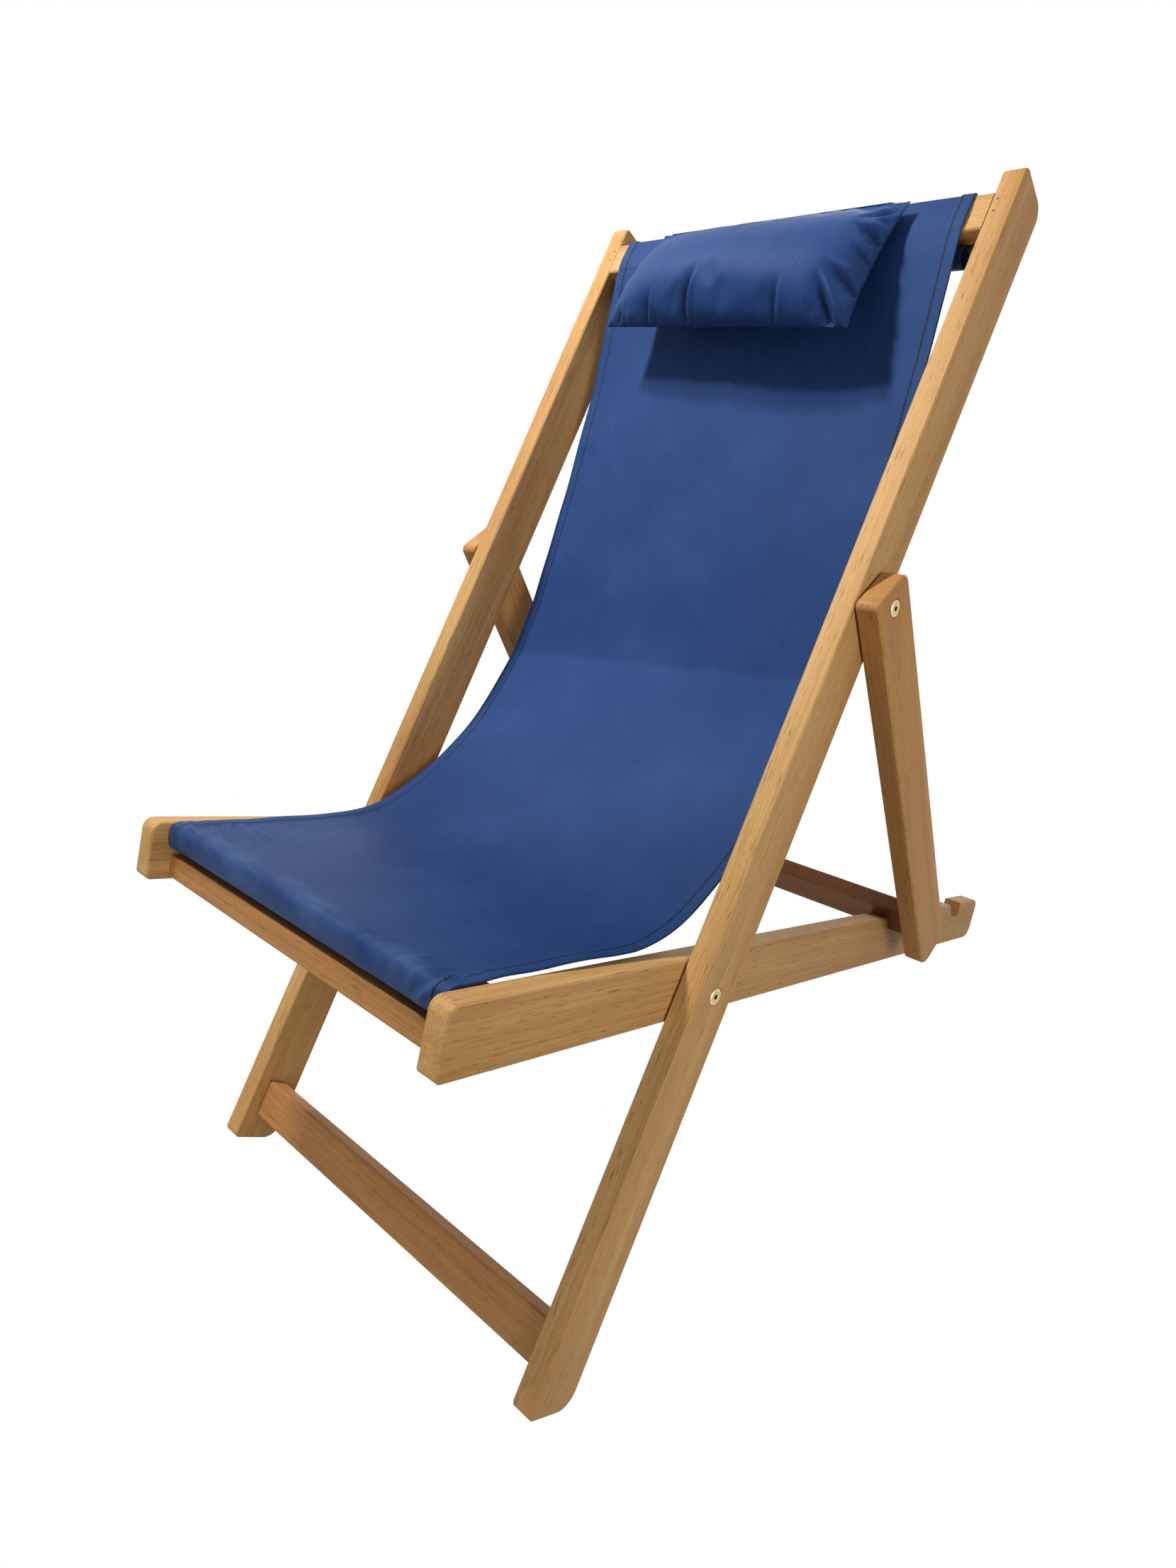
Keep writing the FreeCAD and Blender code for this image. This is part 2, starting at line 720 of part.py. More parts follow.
def dowel(label, frame, along, across):
    rod = cylinder(size["dowel"], size["dowel_long"])
    centre = frame.multVec(FreeCAD.Vector(along, across, 0))
    rod.Placement.Base = FreeCAD.Vector(-mm["dowel_long"] / 2, centre.y, centre.z)
    name_node(rod, label)
    return centre


top_slit = mm["slat_thick"] + mm["slit"] / 2
top_hem = dowel("top_hem_dowel", rail_frame, number(top_slat_x) - mm["top_dowel_drop"], top_slit)
upper_bar_foot = mm["upper_bar_setback"] + mm["upper_bar_thick"]
seat_slit = (upper_bar_foot + mm["lower_slat_setback"]) / 2
seat_dowel_at = mm["lower_slat_at"] + mm["lower_slat_wide"] + mm["seat_dowel_back"]
seat_hem = dowel("seat_hem_dowel", seat_frame, seat_dowel_at, seat_slit)


# Canvas


def side_point(spot, heading, offset):
    """A point at the left of a spot on a line that runs towards heading."""
    return FreeCAD.Vector(
        0,
        spot[0] - offset * math.sin(heading),
        spot[1] + offset * math.cos(heading),
    )


def ahead(spot, heading, length, turn):
    """Where an arc of the given length and turn ends, and where it heads there."""
    if turn:
        chord = 2 * length / turn * math.sin(turn / 2)
    else:
        chord = length
    towards = heading + turn / 2
    end = (spot[0] + chord * math.cos(towards), spot[1] + chord * math.sin(towards))
    return end, heading + turn


def ribbon(spot, heading, runs):
    """Side view of canvas that follows runs of (length, turn); returns the face and its end."""
    edges = {1: [], -1: []}
    half_cloth = mm["cloth"] / 2
    first = [side_point(spot, heading, side * half_cloth) for side in (1, -1)]
    for length, turn in runs:
        middle, half_way = ahead(spot, heading, length / 2, turn / 2)
        end, last = ahead(spot, heading, length, turn)
        for side in (1, -1):
            a = side_point(spot, heading, side * half_cloth)
            b = side_point(middle, half_way, side * half_cloth)
            c = side_point(end, last, side * half_cloth)
            edges[side].append((Part.Arc(a, b, c) if turn else Part.LineSegment(a, c)).toShape())
        spot, heading = end, last
    final = [side_point(spot, heading, side * half_cloth) for side in (1, -1)]
    caps = [Part.LineSegment(*first).toShape(), Part.LineSegment(*final).toShape()]
    wire = Part.Wire(Part.__sortEdges__(edges[1] + edges[-1] + caps))
    return Part.Face(wire), spot, heading


def bend(radius, degrees):
    """A run that turns through an angle on a radius."""
    turn = math.radians(degrees)
    return abs(turn) * radius, turn


def heading_of(frame, along, across):
    """Direction of a board's own vector in the side view."""
    turned = frame.Rotation.multVec(FreeCAD.Vector(along, across, 0))
    return math.atan2(turned.z, turned.y)


def spot_of(frame, along, across):
    point = frame.multVec(FreeCAD.Vector(along, across, 0))
    return point.y, point.z


off_wood = mm["cloth_gap"] + mm["cloth"] / 2
hem_radius = mm["dowel"] + off_wood
slat_bend = mm["slat_round"] + off_wood
bar_bend = mm["upper_bar_round"] + off_wood
slat_flat = mm["slat_thick"] - 2 * mm["slat_round"]
slat_top = number(top_slat_x) + mm["slat_wide"] - mm["slat_round"]


def hem_start(slit_middle, cloth_at):
    """Distance along the slit from a dowel's axis to where the canvas leaves its hem."""
    return math.sqrt(hem_radius**2 - (slit_middle - cloth_at) ** 2)


top_cloth = mm["slat_thick"] + off_wood
top_start = number(top_slat_x) - mm["top_dowel_drop"] + hem_start(top_slit, top_cloth)
over_top = [
    (slat_top - top_start, 0),
    bend(slat_bend, 90),
    (slat_flat, 0),
    bend(slat_bend, 90),
    (mm["slat_wide"] - 2 * mm["slat_round"], 0),
    bend(slat_bend, SLING_DROP),
]
free = [(length, math.radians(turn)) for length, turn in SLING_RUNS]

start = spot_of(rail_frame, top_start, top_cloth)
start_heading = heading_of(rail_frame, 1, 0)
nose_x = mm["upper_bar_at"] + mm["upper_bar_round"]
nose = spot_of(seat_frame, nose_x, mm["upper_bar_setback"] + mm["upper_bar_round"])

# The last run is the straight line that meets the upper bar's round nose; the bend
# before it turns until the line leaves it without a kink
for _ in range(CLOSING_STEPS):
    _, spot, heading = ribbon(start, start_heading, over_top + free)
    to_nose = math.dist(spot, nose)
    bearing = math.atan2(nose[1] - spot[1], nose[0] - spot[0]) - math.asin(bar_bend / to_nose)
    kink = (bearing - heading + math.pi) % (2 * math.pi) - math.pi
    free[-1] = (free[-1][0], free[-1][1] + kink)
last_free = math.sqrt(to_nose**2 - bar_bend**2)
bar_turn = (heading_of(seat_frame, 0, 1) - bearing) % (2 * math.pi)
seat_cloth = upper_bar_foot + off_wood
round_nose = [
    (bar_turn * bar_bend, bar_turn),
    (mm["upper_bar_thick"] - 2 * mm["upper_bar_round"], 0),
    bend(bar_bend, 90),
    (seat_dowel_at - hem_start(seat_slit, seat_cloth) - nose_x, 0),
]
runs = over_top + free + [(last_free, 0)] + round_nose
profile, _, _ = ribbon(start, start_heading, runs)
cloth_length = sum(length for length, _ in runs) + 2 * 2 * math.pi * hem_radius
print("flat sling", round(cloth_length), "long,", round(2 * mm["sling_half"]), "wide")


def hem(centre):
    """Side view of the canvas sewn round a dowel."""
    rings = [
        Part.Face(Part.Wire(Part.makeCircle(hem_radius + side * mm["cloth"] / 2, centre, ACROSS)))
        for side in (1, -1)
    ]
    return rings[0].cut(rings[1])


def spread(face, half_width):
    """Canvas of a side view, laid across the chair."""
    return face.translated(ACROSS * -half_width).extrude(ACROSS * (2 * half_width))


def plan(outline_points, low, high):
    """Upright prism over an outline given in plan."""
    points = [FreeCAD.Vector(x, y, low) for x, y in outline_points]
    face = Part.Face(Part.makePolygon(points + points[:1]))
    return face.extrude(FreeCAD.Vector(0, 0, high - low))


def freeform(label, shape):
    feature = doc.addObject("Part::Feature", label)
    feature.Shape = shape
    return name_node(feature, label)


wide = mm["sling_half"]
narrow = mm["sling_nose_half"]
narrow_to = seat_frame.multVec(FreeCAD.Vector(mm["sling_narrow_to"], 0, 0)).y
wide_from = seat_frame.multVec(FreeCAD.Vector(mm["sling_wide_from"], 0, 0)).y
depth = mm["long_rail"] * 2
edge = [(narrow, -depth), (narrow, narrow_to), (wide, wide_from), (wide, depth)]
trim = plan(edge + [(-x, y) for x, y in reversed(edge)], -depth, depth)
side_view = profile.fuse([hem(top_hem), hem(seat_hem)]).removeSplitter()
freeform("sling", spread(side_view, wide).common(trim).removeSplitter())

# The pillow's flap lies on the sling over the top slat and goes down the slit
on_sling = mm["cloth_gap"] + 1.5 * mm["cloth"] + mm["cloth_gap"]
flap_bend = mm["slat_round"] + on_sling
flap_runs = [
    (mm["flap_front"], 0),
    bend(flap_bend, -90),
    (slat_flat, 0),
    bend(flap_bend, -90),
    (mm["flap_tail"], 0),
]
flap_start = spot_of(rail_frame, slat_top - mm["flap_front"], -on_sling)
flap, _, _ = ribbon(flap_start, start_heading, flap_runs)
freeform("pillow_flap", spread(flap, mm["flap_half"]))


# Head pillow: x across, y from its top seam down, z towards the sitter

PILLOW_STATIONS = 15
SIDE_FULLNESS = 0.06
SIDE_SQUARENESS = 2.6


def fullness_at(part_of_half):
    """How full the pillow is at a part of its half width: 1 in the middle."""
    round_end = math.sqrt(1 - abs(part_of_half) ** SIDE_SQUARENESS)
    return SIDE_FULLNESS + (1 - SIDE_FULLNESS) * round_end


def pillow_section(part_of_half):
    """Closed section: a crowned front, a flatter back and the seam between them."""
    fullness = fullness_at(part_of_half)
    x = part_of_half * mm["pillow_wide"] / 2
    tall = mm["pillow_tall"] - mm["pillow_hollow"] * (1 - part_of_half**2)
    seam = mm["pillow_seam"] / 2
    front = seam + mm["pillow_front"] * fullness
    rear = seam + mm["pillow_back"] * fullness
    upper = [FreeCAD.Vector(x, 0, seam), FreeCAD.Vector(x, 0, -seam)]
    lower = [FreeCAD.Vector(x, tall, seam), FreeCAD.Vector(x, tall, -seam)]
    edges = [
        Part.Arc(upper[0], FreeCAD.Vector(x, tall / 2, front), lower[0]).toShape(),
        Part.LineSegment(lower[0], lower[1]).toShape(),
        Part.Arc(lower[1], FreeCAD.Vector(x, tall / 2, -rear), upper[1]).toShape(),
        Part.LineSegment(upper[1], upper[0]).toShape(),
    ]
    return Part.Wire(edges)


# The stations crowd towards the sides, where the pillow curves most
turns = [math.pi * i / (PILLOW_STATIONS - 1) for i in range(PILLOW_STATIONS)]
pillow = Part.makeLoft([pillow_section(-math.cos(turn)) for turn in turns], True, True)
half_tall = mm["pillow_tall"] / 2
waist_radius = (half_tall**2 + mm["pillow_waist"] ** 2) / (2 * mm["pillow_waist"])
for side in (1, -1):
    x = side * (mm["pillow_wide"] / 2 - mm["pillow_waist"] + waist_radius)
    base = FreeCAD.Vector(x, half_tall, -mm["pillow_front"] * 2)
    hollow = Part.makeCylinder(waist_radius, mm["pillow_front"] * 4, base)
    pillow = pillow.cut(hollow)
cushion = freeform("head_pillow", pillow)
lean = back - math.radians(mm["pillow_tilt"])
seam_top = rail_frame.multVec(
    FreeCAD.Vector(slat_top + mm["slat_round"] - mm["pillow_drop"], -mm["pillow_off"], 0)
)
cushion.Placement = FreeCAD.Placement(
    FreeCAD.Vector(0, seam_top.y, seam_top.z),
    FreeCAD.Rotation(
        FreeCAD.Vector(-1, 0, 0),
        FreeCAD.Vector(0, -math.cos(lean), -math.sin(lean)),
        FreeCAD.Vector(0, -math.sin(lean), math.cos(lean)),
        "ZXY",
    ),
)


# Finish: centre the chair over the origin, test every piece and write it


doc.recompute()
whole = FreeCAD.BoundBox()
for node in nodes:
    whole.add(node.Shape.BoundBox)
to_origin = FreeCAD.Vector(0, -whole.Center.y, 0)
for node in nodes:
    moved = node.Placement.copy()
    moved.Base = moved.Base + to_origin
    node.Placement = moved
doc.recompute()

for thing in doc.Objects:
    if {"Invalid", "Error"} & set(thing.State):
        raise RuntimeError(f"{thing.Label} did not build")
for node in nodes:
    if node.Shape.isNull() or not node.Shape.isValid():
        raise RuntimeError(f"{node.Label} is not a valid shape")

os.makedirs("parts", exist_ok=True)
for node in nodes:
    node.Shape.exportStep(f"parts/{node.Label}.step")


def metres(point):
    moved = point + to_origin
    return [round(value / 1000, 5) for value in moved]


def on_floor(frame, x, radius, angle_sine, angle_cosine):
    """Middle of the flat on which a board's round corner stands."""
    level = radius - worn
    across = mm["board_depth"] - radius + level * angle_cosine
    return frame.multVec(FreeCAD.Vector(x + level * angle_sine, across, 0))


foot = on_floor(rail_frame, heel, heel, -math.sin(back), math.cos(back))
tail_end = on_floor(seat_frame, mm["seat_rail"] - tail, tail, math.sin(seat), math.cos(seat))
print(len(nodes), "pieces")
print("foot on the floor", metres(foot), "rear end on the floor", metres(tail_end))
print("seat pivot", metres(seat_pivot), "seat slope", round(math.degrees(seat), 3))
print("prop pivot", metres(prop_pivot))
print("pillow seam", metres(seam_top))
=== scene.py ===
# %% [markdown]
# A folding deck chair: a canvas sling hangs between a leaning back frame and a
# low seat frame, and a small pillow hangs from its top edge. The wood, bolts
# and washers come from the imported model. This lesson gives them their finish
# and makes the canvas, the pillow and the stitching.

# %% The frame
import json
import math

import bmesh
import bpy
from mathutils import Matrix, Vector, noise


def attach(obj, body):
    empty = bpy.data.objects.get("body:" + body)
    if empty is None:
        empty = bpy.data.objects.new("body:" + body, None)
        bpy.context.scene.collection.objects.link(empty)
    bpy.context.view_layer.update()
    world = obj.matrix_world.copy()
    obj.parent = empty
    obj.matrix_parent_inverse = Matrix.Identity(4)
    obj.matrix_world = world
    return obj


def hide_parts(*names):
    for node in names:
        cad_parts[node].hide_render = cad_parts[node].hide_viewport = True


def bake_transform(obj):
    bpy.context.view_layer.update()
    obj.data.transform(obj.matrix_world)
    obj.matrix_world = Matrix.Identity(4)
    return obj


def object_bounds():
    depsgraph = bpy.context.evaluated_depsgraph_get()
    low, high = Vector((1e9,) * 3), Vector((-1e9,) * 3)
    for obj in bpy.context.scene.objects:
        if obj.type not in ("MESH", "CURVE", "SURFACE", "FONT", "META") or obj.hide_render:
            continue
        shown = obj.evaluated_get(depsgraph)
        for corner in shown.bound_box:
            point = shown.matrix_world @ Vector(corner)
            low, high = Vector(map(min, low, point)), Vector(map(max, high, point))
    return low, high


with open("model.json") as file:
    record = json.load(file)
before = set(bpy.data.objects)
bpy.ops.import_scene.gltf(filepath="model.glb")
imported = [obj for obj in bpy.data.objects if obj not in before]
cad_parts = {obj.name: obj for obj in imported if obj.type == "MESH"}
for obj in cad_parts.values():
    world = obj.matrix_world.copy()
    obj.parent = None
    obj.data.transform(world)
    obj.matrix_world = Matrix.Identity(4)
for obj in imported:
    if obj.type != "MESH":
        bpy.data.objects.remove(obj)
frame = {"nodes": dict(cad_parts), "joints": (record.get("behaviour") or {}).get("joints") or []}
cad_low, cad_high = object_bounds()
nodes = frame["nodes"]
joints = {joint["name"]: joint for joint in frame["joints"]}
print("packed chair", [round(v, 3) for v in cad_high - cad_low])

MM = 0.001

# %% [markdown]
# Every line on this chair lies in its side view, so most shapes here are built
# from points (y, z) that are then laid across the chair along X. The boards'
# directions are the same angles as in the woodwork.

# %% Directions and places of the boards
BACK_ANGLE = math.radians(50.78)
SEAT_SLOPE = math.radians(22.695)
STRUT_ANGLE = math.radians(69.28)
BOARD_DEPTH = 63 * MM
RAIL_LONG = 1313 * MM
PIVOT_ON_RAIL = 417 * MM
PIVOT_ON_SEAT = 322.5 * MM

seat_pivot = Vector(joints["seat_fold"]["pos_m"])
prop_pivot = Vector(joints["prop_swing"]["pos_m"])
pillow_hinge = Vector(joints["pillow_flip"]["pos_m"])


class Board:
    """Side view of a board: x runs along it and y from its front or top edge."""

    def __init__(self, pivot, pivot_x, along, across):
        self.along = Vector((0, *along))
        self.across = Vector((0, *across))
        centre = Vector((0, pivot.y, pivot.z))
        self.origin = centre - self.along * pivot_x - self.across * BOARD_DEPTH / 2

    def place(self, x, y):
        return self.origin + self.along * x + self.across * y

    def heading(self, along, across):
        way = self.along * along + self.across * across
        return math.atan2(way.z, way.y)


rail = Board(
    seat_pivot,
    PIVOT_ON_RAIL,
    (math.cos(BACK_ANGLE), math.sin(BACK_ANGLE)),
    (math.sin(BACK_ANGLE), -math.cos(BACK_ANGLE)),
)
seat = Board(
    seat_pivot,
    PIVOT_ON_SEAT,
    (math.cos(SEAT_SLOPE), -math.sin(SEAT_SLOPE)),
    (-math.sin(SEAT_SLOPE), -math.cos(SEAT_SLOPE)),
)
print("top of the rails", rail.place(RAIL_LONG, 0))

# %% [markdown]
# The camera stands where the photographer stood: a little above the seat, in
# front of the sitter's left, tipped by a few degrees. Its place and turn were
# worked out from the parallel edges of the boards and their known sizes.

# %% Camera
CAMERA_AT = Vector((0.7176, -0.8277, 0.9193))
CAMERA_RIGHT = Vector((0.733543, 0.677020, -0.059648))
CAMERA_UP = Vector((-0.250607, 0.351019, 0.902209))
FOCAL_PIXELS = 1339.2
PHOTO_HEIGHT = 2212
SENSOR_MM = 24


def put(name, data):
    """Object of some data, linked into the scene."""
    made = bpy.data.objects.new(name, data)
    bpy.context.scene.collection.objects.link(made)
    return made


camera_data = bpy.data.cameras.new("camera")
camera_data.sensor_fit = "VERTICAL"
camera_data.sensor_height = SENSOR_MM
camera_data.sensor_width = SENSOR_MM
camera_data.lens = FOCAL_PIXELS / PHOTO_HEIGHT * SENSOR_MM
camera_data.clip_start = 0.05
camera = put("camera", camera_data)
right = CAMERA_RIGHT.normalized()
back = right.cross(CAMERA_UP).normalized()
turn = Matrix((right, back.cross(right), back)).transposed().to_4x4()
camera.matrix_world = Matrix.Translation(CAMERA_AT) @ turn
bpy.context.scene.camera = camera
print("lens", round(camera_data.lens, 2), "mm")

# %% [markdown]
# Three helpers serve all the finishes: one turns a written colour into the
# linear light that the shader wants, one starts a material with an empty tree,
# and one adds a node with its settings and links.

# %% Helpers for the finishes


def colour(written):
    """Linear RGBA of an sRGB hex colour."""
    parts = [int(written[i : i + 2], 16) / 255 for i in (1, 3, 5)]
    line = [c / 12.92 if c <= 0.04045 else ((c + 0.055) / 1.055) ** 2.4 for c in parts]
    return (*line, 1.0)


def new_tree(kept, name):
    """New material or world among those kept, and its node tree with nothing in it."""
    made = kept.new(name)
    made.use_nodes = True
    made.node_tree.nodes.clear()
    return made, made.node_tree


def add(tree, kind, settings=None, **inputs):
    """One node: its settings, then its inputs by name, or by number as in in1.

    A kind without Node in its name is a shader node, and a single word for the
    settings is its operation. The setting "stops" is a colour ramp's places and
    written colours. An input is a value, a socket, or a node, which stands for
    its first output.
    """
    node = tree.nodes.new(kind if "Node" in kind else "ShaderNode" + kind)
    if isinstance(settings, str):
        settings = {"operation": settings}
    for key, value in (settings or {}).items():
        if key != "stops":
            setattr(node, key, value)
            continue
        band = node.color_ramp.elements
        while len(band) < len(value):
            band.new(0.5)
        for element, (place, shade) in zip(band, value):
            element.position = place
            element.color = colour(shade)
    for key, value in inputs.items():
        name = key.replace("_", " ").lower()
        found = [s for s in node.inputs if s.name.lower() == name and s.enabled]
        socket = found[0] if found else node.inputs[int(key.removeprefix("in"))]
        if isinstance(value, bpy.types.Node):
            value = next(s for s in value.outputs if s.enabled)
        if isinstance(value, bpy.types.NodeSocket):
            tree.links.new(value, socket)
        else:
            socket.default_value = value
    return node


# %% [markdown]
# The boards are a light oiled hardwood, sawn straight along the grain. Close
# up it shows three things: wide soft streaks where the growth rings run out of
# the face, fine grain lines, and short dark pores. Each is a noise stretched
# along the board, so the material turns the object's coordinates until its Z
# runs along the wood. A picture of a plank would do as well, but noise needs no
# file and never repeats. Every board has a shift of its own, as if cut elsewhere
# from the plank.

# %% Oiled hardwood
# Each pattern: how many to a metre across and along the grain, detail, seed.
# Streaks are about 40 mm wide, as on the boards. Grain lines, 2.4 mm apart, and
# pores, 1.4 mm, are coarser than real ones, so that they show in the picture
STREAKS = (26, 1.1, 3.0, 3.1)
GRAIN = (420, 7.0, 2.0, 8.4)
PORES = (700, 45.0, 1.0, 5.7)
BLUSH = (5.0, 2.2, 1.0, 1.3)
HONEY = ("#B5874D", "#C2965C", "#CDA36A")
AMBER = ("#B27F45", "#BF8E53", "#CA9D64")
TAWNY = ("#A8743F", "#B5824D", "#C0905B")
RUSSET = ("#7A4A2A", "#8A5935", "#9A6842")


def hardwood(name, lean, shift, shades):
    """Oiled hardwood whose grain leans by an angle from upright in the side view."""
    material, tree = new_tree(bpy.data.materials, name)
    place = add(tree, "TexCoord").outputs["Object"]
    turned = add(tree, "Mapping", Vector=place, Rotation=lean, Location=shift)

    def stretched(across, along, detail, seed):
        scaled = add(
            tree, "Mapping", Vector=turned, Scale=(across, across, along), Location=(seed, seed, seed)
        )
        return add(
            tree, "TexNoise", Vector=scaled, Scale=1.0, Detail=detail, Roughness=0.55, Distortion=0.25
        )

    grain = stretched(*GRAIN)
    stops = list(zip((0.3, 0.5, 0.7), shades))
    broad = add(tree, "ValToRGB", {"stops": stops}, Fac=stretched(*STREAKS))
    blushed = add(tree, "MapRange", Value=stretched(*BLUSH), From_Min=0.52, From_Max=0.75, To_Max=0.42)
    toned = add(
        tree,
        "Mix",
        {"data_type": "RGBA", "blend_type": "MULTIPLY"},
        Factor=blushed,
        A=broad,
        B=colour("#B0653A"),
    )
    lined = add(tree, "MapRange", Value=grain, From_Min=0.35, From_Max=0.65, To_Min=0.82, To_Max=1.06)
    fine = add(tree, "VectorMath", "SCALE", in0=toned, Scale=lined)
    dark = add(tree, "MapRange", Value=stretched(*PORES), From_Min=0.63, From_Max=0.71, To_Max=0.6)
    pored = add(tree, "Mix", {"data_type": "RGBA"}, Factor=dark, A=fine, B=colour("#6B4526"))
    rough = add(tree, "MapRange", Value=grain, From_Min=0.3, From_Max=0.7, To_Min=0.46, To_Max=0.6)
    shader = add(
        tree,
        "BsdfPrincipled",
        Base_Color=pored,
        Roughness=rough,
        Specular_IOR_Level=0.26,
        Specular_Tint=colour("#FFE0B8"),
        Normal=add(tree, "Bump", Height=grain, Strength=0.25, Distance=0.4 * MM),
    )
    add(tree, "OutputMaterial", Surface=shader)
    return material


# %% Wood on the boards
# Turns that bring each board's length onto the material's Z axis
ALONG_BACK = (math.radians(90) - BACK_ANGLE, 0, 0)
ALONG_SEAT = (math.radians(90) + SEAT_SLOPE, 0, 0)
ALONG_STRUT = (math.radians(90) + STRUT_ANGLE, 0, 0)
ALONG_X = (0, math.radians(-90), 0)

BOARDS = {
    "long_rail_right": (ALONG_BACK, HONEY),
    "long_rail_left": (ALONG_BACK, HONEY),
    "seat_rail_right": (ALONG_SEAT, HONEY),
    "seat_rail_left": (ALONG_SEAT, HONEY),
    "strut_right": (ALONG_STRUT, AMBER),
    "strut_left": (ALONG_STRUT, AMBER),
    "top_front_slat": (ALONG_X, HONEY),
    "top_rear_slat": (ALONG_X, TAWNY),
    "bottom_stretcher": (ALONG_X, TAWNY),
    "seat_upper_bar": (ALONG_X, TAWNY),
    "seat_lower_slat": (ALONG_X, TAWNY),
    "prop_cross_bar": (ALONG_X, RUSSET),
    "top_hem_dowel": (ALONG_X, HONEY),
    "seat_hem_dowel": (ALONG_X, HONEY),
}
PLANK_STEP = (0.37, 0.61, 0.83)
WELD_WITHIN = 0.01 * MM
EDGE_ROUND = 0.7 * MM
SHARP = math.radians(25)


def dress(node, material):
    node.data.materials.clear()
    node.data.materials.append(material)


def soften_edges(node):
    """Round the bevels of a board a little more, as sanding does."""
    weld = node.modifiers.new("weld", "WELD")
    weld.merge_threshold = WELD_WITHIN
    bevel = node.modifiers.new("sanded", "BEVEL")
    bevel.width = EDGE_ROUND
    bevel.segments = 2
    bevel.limit_method = "ANGLE"
    bevel.angle_limit = SHARP
    bevel.harden_normals = True


for number, (name, (lean, shades)) in enumerate(BOARDS.items()):
    shift = [step * number for step in PLANK_STEP]
    dress(nodes[name], hardwood(f"oiled_hardwood_{name}", lean, shift, shades))
    soften_edges(nodes[name])
print(len(BOARDS), "boards finished")

# %% [markdown]
# The connector bolts and their sleeve nuts are yellow zinc plate: a warm metal
# that is not quite polished. Each head has a turned ring round its middle and a
# hexagon socket, and shade is painted into both. The sockets are in the imported
# heads, so the finish only lays this painted shade, by the distance from the
# bolts' axis. The washers are black nylon and the brads are dull steel, stained
# brown.

# %% Metal and nylon
# Where shade is painted in a bolt's head: its hex socket, and the ring round it with the shade's
# strength there
SOCKET_HALF = 2.6 * MM
SOCKET_EDGE = 0.2 * MM
RING_AT = 4.8 * MM
RING_WIDE = 0.5 * MM
RING_CORE = 0.1 * MM
RING_SHADE = 0.6
# Clouds in the plating are about 4 mm wide and specks in the nylon 1 mm
CLOUDS_PER_M = 260.0
SPECKS_PER_M = 900.0


def stripe(tree, value, at, inner, outer, strength):
    """A strength within inner of a place on a value, which fades to nothing at outer."""
    off = add(tree, "Math", "SUBTRACT", in0=value, in1=at)
    away = add(tree, "Math", "ABSOLUTE", in0=off)
    return add(
        tree,
        "MapRange",
        {"interpolation_type": "SMOOTHSTEP"},
        Value=away,
        From_Min=inner,
        From_Max=outer,
        To_Min=strength,
        To_Max=0.0,
    )


def painted_socket_shade(tree, place, axis):
    """Strength of painted shade: one in a bolt's socket, about half on the ring round it, and nothing
    elsewhere.
    """
    off = add(tree, "VectorMath", "SUBTRACT", in0=place, in1=tuple(axis))
    flat = add(tree, "VectorMath", "MULTIPLY", in0=off, in1=(0.0, 1.0, 1.0))
    distance = add(tree, "VectorMath", "LENGTH", in0=flat)
    hole = add(
        tree,
        "MapRange",
        Value=distance,
        From_Min=SOCKET_HALF,
        From_Max=SOCKET_HALF + SOCKET_EDGE,
        To_Min=1.0,
        To_Max=0.0,
    )
    ring = stripe(tree, distance, RING_AT, RING_CORE, RING_WIDE, RING_SHADE)
    return add(tree, "Math", "MAXIMUM", in0=hole, in1=ring)


def plated(name, shades, roughness, axis=None):
    """Worn plated metal, with painted shade in the heads of the bolts on an axis."""
    material, tree = new_tree(bpy.data.materials, name)
    place = add(tree, "TexCoord").outputs["Object"]
    cloudy = add(tree, "TexNoise", Vector=place, Scale=CLOUDS_PER_M, Detail=3.0)
    tone = add(tree, "ValToRGB", {"stops": list(zip((0.3, 0.7), shades))}, Fac=cloudy)
    if axis:
        # Painted shade in the socket and on the ring, in dark brown
        socket_shade = painted_socket_shade(tree, place, axis)
        brown = colour("#241A10")
        tone = add(tree, "Mix", {"data_type": "RGBA"}, Factor=socket_shade, A=tone, B=brown)
    low, high = roughness
    worn = add(tree, "MapRange", Value=cloudy, From_Min=0.3, From_Max=0.7, To_Min=low, To_Max=high)
    shader = add(tree, "BsdfPrincipled", Base_Color=tone, Roughness=worn, Metallic=1.0)
    add(tree, "OutputMaterial", Surface=shader)
    return material


def speckled(name, shades, per_m, **surface):
    """Material with two shades in fine specks."""
    material, tree = new_tree(bpy.data.materials, name)
    place = add(tree, "TexCoord").outputs["Object"]
    specks = add(tree, "TexNoise", Vector=place, Scale=per_m)
    tone = add(tree, "ValToRGB", {"stops": list(zip((0.3, 0.7), shades))}, Fac=specks)
    shader = add(tree, "BsdfPrincipled", Base_Color=tone, **surface)
    add(tree, "OutputMaterial", Surface=shader)
    return material


ZINC = ("#C4AB74", "#E6D5A6")
seat_zinc = plated("yellow_zinc_seat_bolts", ZINC, (0.34, 0.5), seat_pivot)
prop_zinc = plated("yellow_zinc_prop_bolts", ZINC, (0.34, 0.5), prop_pivot)
steel = plated("dull_steel", ("#4A3C2C", "#6E5C48"), (0.45, 0.6))
nylon = speckled("black_nylon", ("#17150F", "#2A2620"), SPECKS_PER_M, Roughness=0.5, IOR=1.53)
FITTINGS = {
    "seat_pivot_bolts": seat_zinc,
    "seat_sleeve_nuts": seat_zinc,
    "prop_pivot_bolts": prop_zinc,
    "prop_inserts": prop_zinc,
    "seat_washers": nylon,
    "prop_washers": nylon,
    "slat_brads": steel,
    "prop_brads": steel,
}
for name, material in FITTINGS.items():
    dress(nodes[name], material)
print(len(FITTINGS), "fittings finished")

